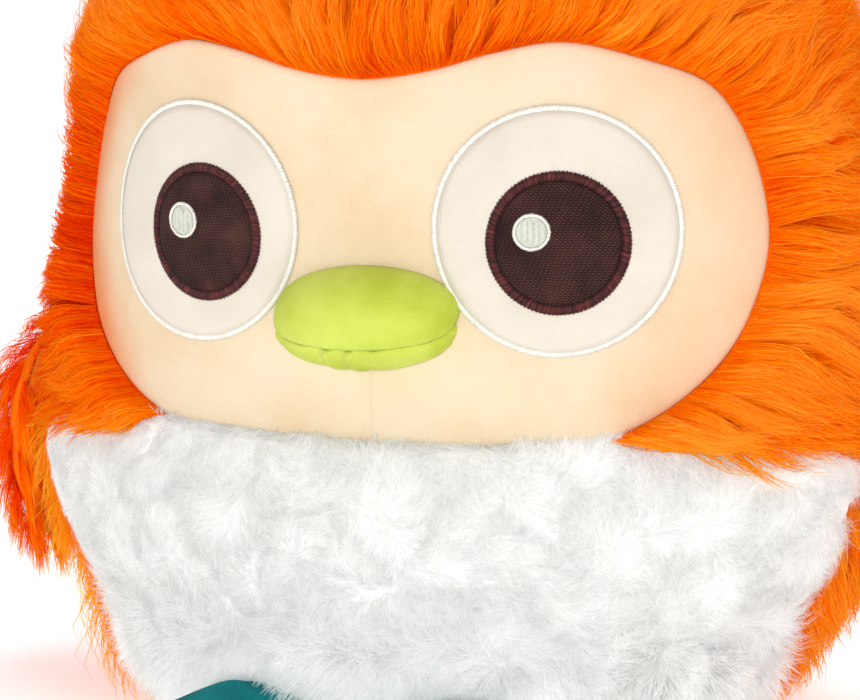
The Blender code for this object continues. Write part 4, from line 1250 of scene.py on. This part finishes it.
for grid, name in ((back_skin, "left"), (mirrored(back_skin), "right")):
    rng = np.random.default_rng(51 + len(name))
    back = lined(panel_piece(f"back_{name}", grid, flat_cloth, orange_cloth), CLOTH + BACKING)
    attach(back, "root")
    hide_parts(f"back_panel_{name}")
    many, _ = roots_on(back, 9000, rng)
    starts = many[spaced(many, LOCK_SPACING)]
    lengths = 0.032 + 0.005 * soft_noise(starts, 0.03, rng) + rng.uniform(-0.006, 0.006, len(starts))
    front = np.clip((0.012 - starts[:, 1]) / 0.03, 0, 1)
    lengths = lengths * (1 + 0.35 * front * np.clip(1.6 - starts[:, 2] / 0.05, 0, 1))
    paths, faces = walked_locks(starts, lengths, hanging, 0.28, rng)
    locks = lock_looks(paths, faces, 0.006, 0.0140, rng)
    loose = front * (starts[:, 0] < 0) * np.clip(2 - starts[:, 2] / 0.04, 0, 1)
    loose = loose * rng.uniform(0.3, 1.6, len(starts))
    locks = (*locks[:2], locks[2] + 0.002 * front + 0.009 * loose, locks[3], locks[4] + 0.25 * front)
    roots, _ = roots_on(back, 24000, rng)
    look = (0.45, 0.0019, 0.0004, 2.2)
    pile = long_pile(f"back_pile_{name}", short_hair, roots, locks, look, orange_pile, rng)
    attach(pile, "root")


# The base is a flat oval of short orange lining cloth, sewn in last to close the body.
lining_velboa = velboa_material("orange lining", "E0600A", "F47A14", "FB9230", 1900, 45, 0.0004, 0.1)


def cad_copy(node):
    """A merged copy of a sewn solid's mesh."""
    bm = bmesh.new()
    bm.from_mesh(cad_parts[node].data)
    bmesh.ops.remove_doubles(bm, verts=bm.verts[:], dist=1e-5)
    return bm


base = finished("base_cloth", cad_copy("base_panel"), lining_velboa)
base.data.shade_flat()
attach(base, "root")
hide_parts("base_panel")


# The wings are flat stuffed leaves, long orange pile outside and short orange lining inside. Each
# hangs by its top edge from a seam in the flank and lies against the body.
def leaf_locks(starts, facing, lengths, brush, drift, rng):
    """Locks on a small leaf run straight the way it is brushed, and end past its edge."""
    lean = rng.normal(0, drift, (len(starts), 3))
    way = unit(unit(brush - dot(brush, facing) * facing) + lean)
    share = np.linspace(0, 1, LOCK_STEPS + 1)[None, :, None]
    run = way[:, None] * (1 - share * 0.5) + brush * share * 0.5
    paths = starts[:, None] + run * share * lengths[:, None, None]
    return paths, np.repeat(facing[:, None], LOCK_STEPS + 1, axis=1)


def leaf_pile(name, piece, brush, count, lengths, lift, material, rng):
    """Long pile over the outward faces of a leaf."""
    many, facing = roots_on(piece, 3000, rng)
    kept = spaced(many, LOCK_SPACING)
    reach = rng.uniform(*lengths, len(kept))
    paths, faces = leaf_locks(many[kept], facing[kept], reach, brush, 0.16, rng)
    locks = lock_looks(paths, faces, *lift, rng)
    roots, _ = roots_on(piece, count, rng)
    look = (0.5, 0.0009, 0.0004, 2.6)
    return long_pile(name, short_hair, roots, locks, look, material, rng)


for side, name in ((1, "left"), (-1, "right")):
    rng = np.random.default_rng(61 + side)
    body = f"wing_{name}"
    outer = finished(f"wing_outer_{name}", cad_copy(f"wing_fur_{name}"), orange_cloth)
    inner = finished(f"wing_inner_{name}", cad_copy(f"wing_lining_{name}"), lining_velboa)
    core = finished(f"wing_core_{name}", cad_copy(f"wing_stuffing_{name}"), fibrefill)
    pieces = (
        (outer, f"wing_fur_{name}", "orange_fur"),
        (inner, f"wing_lining_{name}", "orange_lining"),
        (core, f"wing_stuffing_{name}", "fibrefill"),
    )
    for piece, node, finish in pieces:
        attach(piece, body)
        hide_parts(node)
    down = unit(np.array([side * 0.05, 0.12, -1.0]))
    pile = leaf_pile(f"wing_pile_{name}", outer, down, 13000, (0.012, 0.022), (0.003, 0.008),
                     orange_pile, rng)
    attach(pile, body)


# The ear tufts are small stuffed points of the long orange pile, sewn to the corners of the crown.
for side, name in ((1, "left"), (-1, "right")):
    rng = np.random.default_rng(71 + side)
    up = unit(np.array([side * 0.42, 0.05, 1.0]))
    for half_name in ("front", "back"):
        node = f"ear_{half_name}_{name}"
        panel = finished(f"tuft_{half_name}_{name}", cad_copy(node), orange_cloth)
        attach(panel, "root")
        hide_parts(node)
        pile = leaf_pile(f"tuft_pile_{half_name}_{name}", panel, up, 5000, (0.007, 0.013),
                         (0.002, 0.006), orange_pile, rng)
        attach(pile, "root")
    core = finished(f"tuft_core_{name}", cad_copy(f"ear_stuffing_{name}"), fibrefill)
    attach(core, "root")
    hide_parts(f"ear_stuffing_{name}")


# The feet are stuffed teal velboa with three stubby toes each and a flat sole. They are hinged by
# the seam that joins their tops to the belly, and they rest on the ground.
FOOT_SPREAD = 0.033
FOOT_LEAD = 0.0112
FOOT_SPLAY = math.radians(12)
FOOT_HEIGHT = 0.0245
FOOT_HALF_WIDTH = 0.025
FOOT_HALF_LENGTH = 0.030
TOE_RADIUS = 0.0108
TOE_PITCH = 0.0165
TOE_REACH = 0.0215
MIDDLE_TOE_LEAD = 0.006
TOE_HEIGHT_SHARE = 0.72
TOE_BLEND = 6
TOE_CROWDING_SHARE = 0.45
FOOT_CLOTH = 0.0012
FOOT_NAP = 0.0019


def foot_reach(turn, shrink):
    """How far the foot's outline lies from its centre: the heel's oval or the farthest toe."""
    x, y = math.sin(turn), math.cos(turn)
    half_width, half_length = FOOT_HALF_WIDTH - shrink, FOOT_HALF_LENGTH - shrink
    reach = 1 / math.hypot(x / half_width, y / half_length)
    for toe in (-1, 0, 1):
        centre_x = toe * TOE_PITCH
        centre_y = TOE_REACH + (MIDDLE_TOE_LEAD if toe == 0 else 0)
        along = centre_x * x + centre_y * y
        off = centre_x * y - centre_y * x
        radius = TOE_RADIUS - shrink
        if along > 0 and abs(off) < radius:
            reach = max(reach, along + math.sqrt(radius**2 - off**2))
    return reach


def foot_shell(blank, shrink, low, high):
    """The foot's top: an instep that swells into three round toes. Toes point to -y."""
    turn = np.arctan2(blank[:, 0], -blank[:, 1])
    turn = turn - TOE_CROWDING_SHARE * np.sin(turn)
    out = np.sin(np.hypot(blank[:, 0], blank[:, 1]) * math.pi / 2)
    reach = np.array([foot_reach(angle, shrink) for angle in turn]) * out
    flat = np.column_stack([reach * np.sin(turn), reach * np.cos(turn)])
    oval = flat / [FOOT_HALF_WIDTH - shrink, FOOT_HALF_LENGTH - shrink]
    domes = [0.9 * np.maximum(1 - (oval**2).sum(1), 0) ** 0.5]
    for toe in (-1, 0, 1):
        tip = np.array([toe * TOE_PITCH, TOE_REACH + (MIDDLE_TOE_LEAD if toe == 0 else 0)])
        along = np.clip(flat @ tip / (tip @ tip), 0.2, 1)[:, None]
        gone = ((flat - along * tip) ** 2).sum(1) / (TOE_RADIUS - shrink) ** 2
        domes.append(TOE_HEIGHT_SHARE * np.maximum(1 - gone, 0) ** 0.5)
    swell = sum(dome**TOE_BLEND for dome in domes) ** (1 / TOE_BLEND)
    swell = swell * np.clip((1 - out**2) / 0.15, 0, 1) ** 0.5
    return np.column_stack([flat[:, 0], -flat[:, 1], low + (high - low) * swell])


def belly_face(points, gap):
    """How far forward the belly's pile stands beside these points."""
    width, front, _ = section(points[:, 2])
    share = np.minimum(np.abs(points[:, 0]) / (width + gap), 1)
    return -(front + gap) * (1 - share**SECTION_POWER) ** (1 / SECTION_POWER)


teal_velboa = velboa_material("teal velboa", "006067", "007E84", "00949A", 2400, 60, 0.0005, 0.04)
for side, name in ((1, "left"), (-1, "right")):
    body = f"foot_{name}"
    root = section(np.array([FOOT_HEIGHT]))[1][0] + BELLY_PILE + CLEARANCE
    place = Matrix.Translation((side * FOOT_SPREAD, -root - FOOT_LEAD, 0))
    place = place @ Matrix.Rotation(side * FOOT_SPLAY, 4, "Z")
    layers = (
        ("foot_top", "foot_upper", 0, FOOT_CLOTH, FOOT_HEIGHT + FOOT_NAP, teal_velboa, "teal_plush"),
        ("foot_core", "foot_stuffing", 0.0016, 0.0016, FOOT_HEIGHT - 0.0016, fibrefill, "fibrefill"),
        ("foot_bottom", "foot_sole", 0, 0.0006, 0.0006, teal_velboa, "teal_plush"),
    )
    for label, node, shrink, low, high, material, finish in layers:
        bm = blank_disc(150, 24) if label == "foot_top" else blank_disc(60, 10)
        set_places(bm, foot_shell(places(bm), shrink, low, high))
        bmesh.ops.transform(bm, matrix=place, verts=bm.verts[:])
        points = places(bm)
        points[:, 1] = np.minimum(points[:, 1], belly_face(points, BELLY_PILE - 0.001))
        set_places(bm, points)
        piece = finished(f"{label}_{name}", bm, material)
        lined(piece, 0.0006 if label == "foot_bottom" else FOOT_CLOTH * 0.8)
        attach(piece, body)
        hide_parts(f"{node}_{name}")


# The owl sits on a plain white table in a bright room, and the picture is taken from a little above
# and to its left, about 0.9 m away.
CAMERA_PLACE = Vector((0.3395, -0.8531, 0.2217))
CAMERA_WAY = Vector((-0.3793, 0.9176, -0.1193))
CAMERA_UP = Vector((-0.0456, 0.1103, 0.9929))
CAMERA_LENS = 126.3
ROOM_GLOW = 0.42


def table_material():
    """White acrylic of a photographer's table, faintly lit from below so that shadows stay light."""
    material, tree = new_material("white table")
    light = {"glow": (1, 1, 1, 1), "glow_strength": 0.42}
    return covered(material, shaded(tree, dye("FAFAFA"), 0.8, gloss=0.1, **light))


bm = bmesh.new()
bmesh.ops.create_grid(bm, x_segments=1, y_segments=1, size=4)
bmesh.ops.translate(bm, verts=bm.verts[:], vec=(0, 0, -0.0003))
table = finished("table", bm, table_material())


def soft_lamp(name, place, aim, strength, spread):
    """Even light from far away, through a diffuser this many degrees wide."""
    lamp = bpy.data.lights.new(name, "SUN")
    lamp.energy = strength
    lamp.angle = math.radians(spread)
    lamp.color = (1.0, 0.99, 0.975)
    holder = bpy.data.objects.new(name, lamp)
    bpy.context.scene.collection.objects.link(holder)
    holder.location = place
    holder.rotation_euler = (Vector(aim) - Vector(place)).to_track_quat("-Z", "Y").to_euler()


soft_lamp("window", (0.4, -1.65, 0.22), (0, 0, 0), 1.61, 20)
soft_lamp("ceiling", (0.5, 0.1, 1.9), (0, 0, 0), 1.2, 50)

room = bpy.data.worlds.new("bright room")
room.use_nodes = True
bpy.context.scene.world = room
tree = room.node_tree
tree.nodes.clear()
rays = put(tree, "ShaderNodeLightPath").outputs
seen = combined(tree, "MAXIMUM", rays["Is Camera Ray"], rays["Is Glossy Ray"])
seen = combined(tree, "MAXIMUM", seen, rays["Is Transmission Ray"])
glow, backdrop = [
    put(tree, "ShaderNodeBackground", {"Color": (1, 1, 1, 1), "Strength": strength})
    for strength in (ROOM_GLOW, 1.0)
]
mixed = {0: seen, 1: glow.outputs["Background"], 2: backdrop.outputs["Background"]}
sky = put(tree, "ShaderNodeMixShader", mixed)
put(tree, "ShaderNodeOutputWorld", {"Surface": sky.outputs["Shader"]})

lens = bpy.data.cameras.new("camera")
lens.lens = CAMERA_LENS
lens.sensor_width = 36
lens.sensor_fit = "HORIZONTAL"
camera = bpy.data.objects.new("camera", lens)
bpy.context.scene.collection.objects.link(camera)
right = CAMERA_WAY.cross(CAMERA_UP).normalized()
upright = right.cross(CAMERA_WAY).normalized()
turned = Matrix((right, upright, -CAMERA_WAY.normalized())).transposed().to_4x4()
camera.matrix_world = Matrix.Translation(CAMERA_PLACE) @ turned
bpy.context.scene.camera = camera
bpy.context.scene.view_settings.view_transform = "Standard"
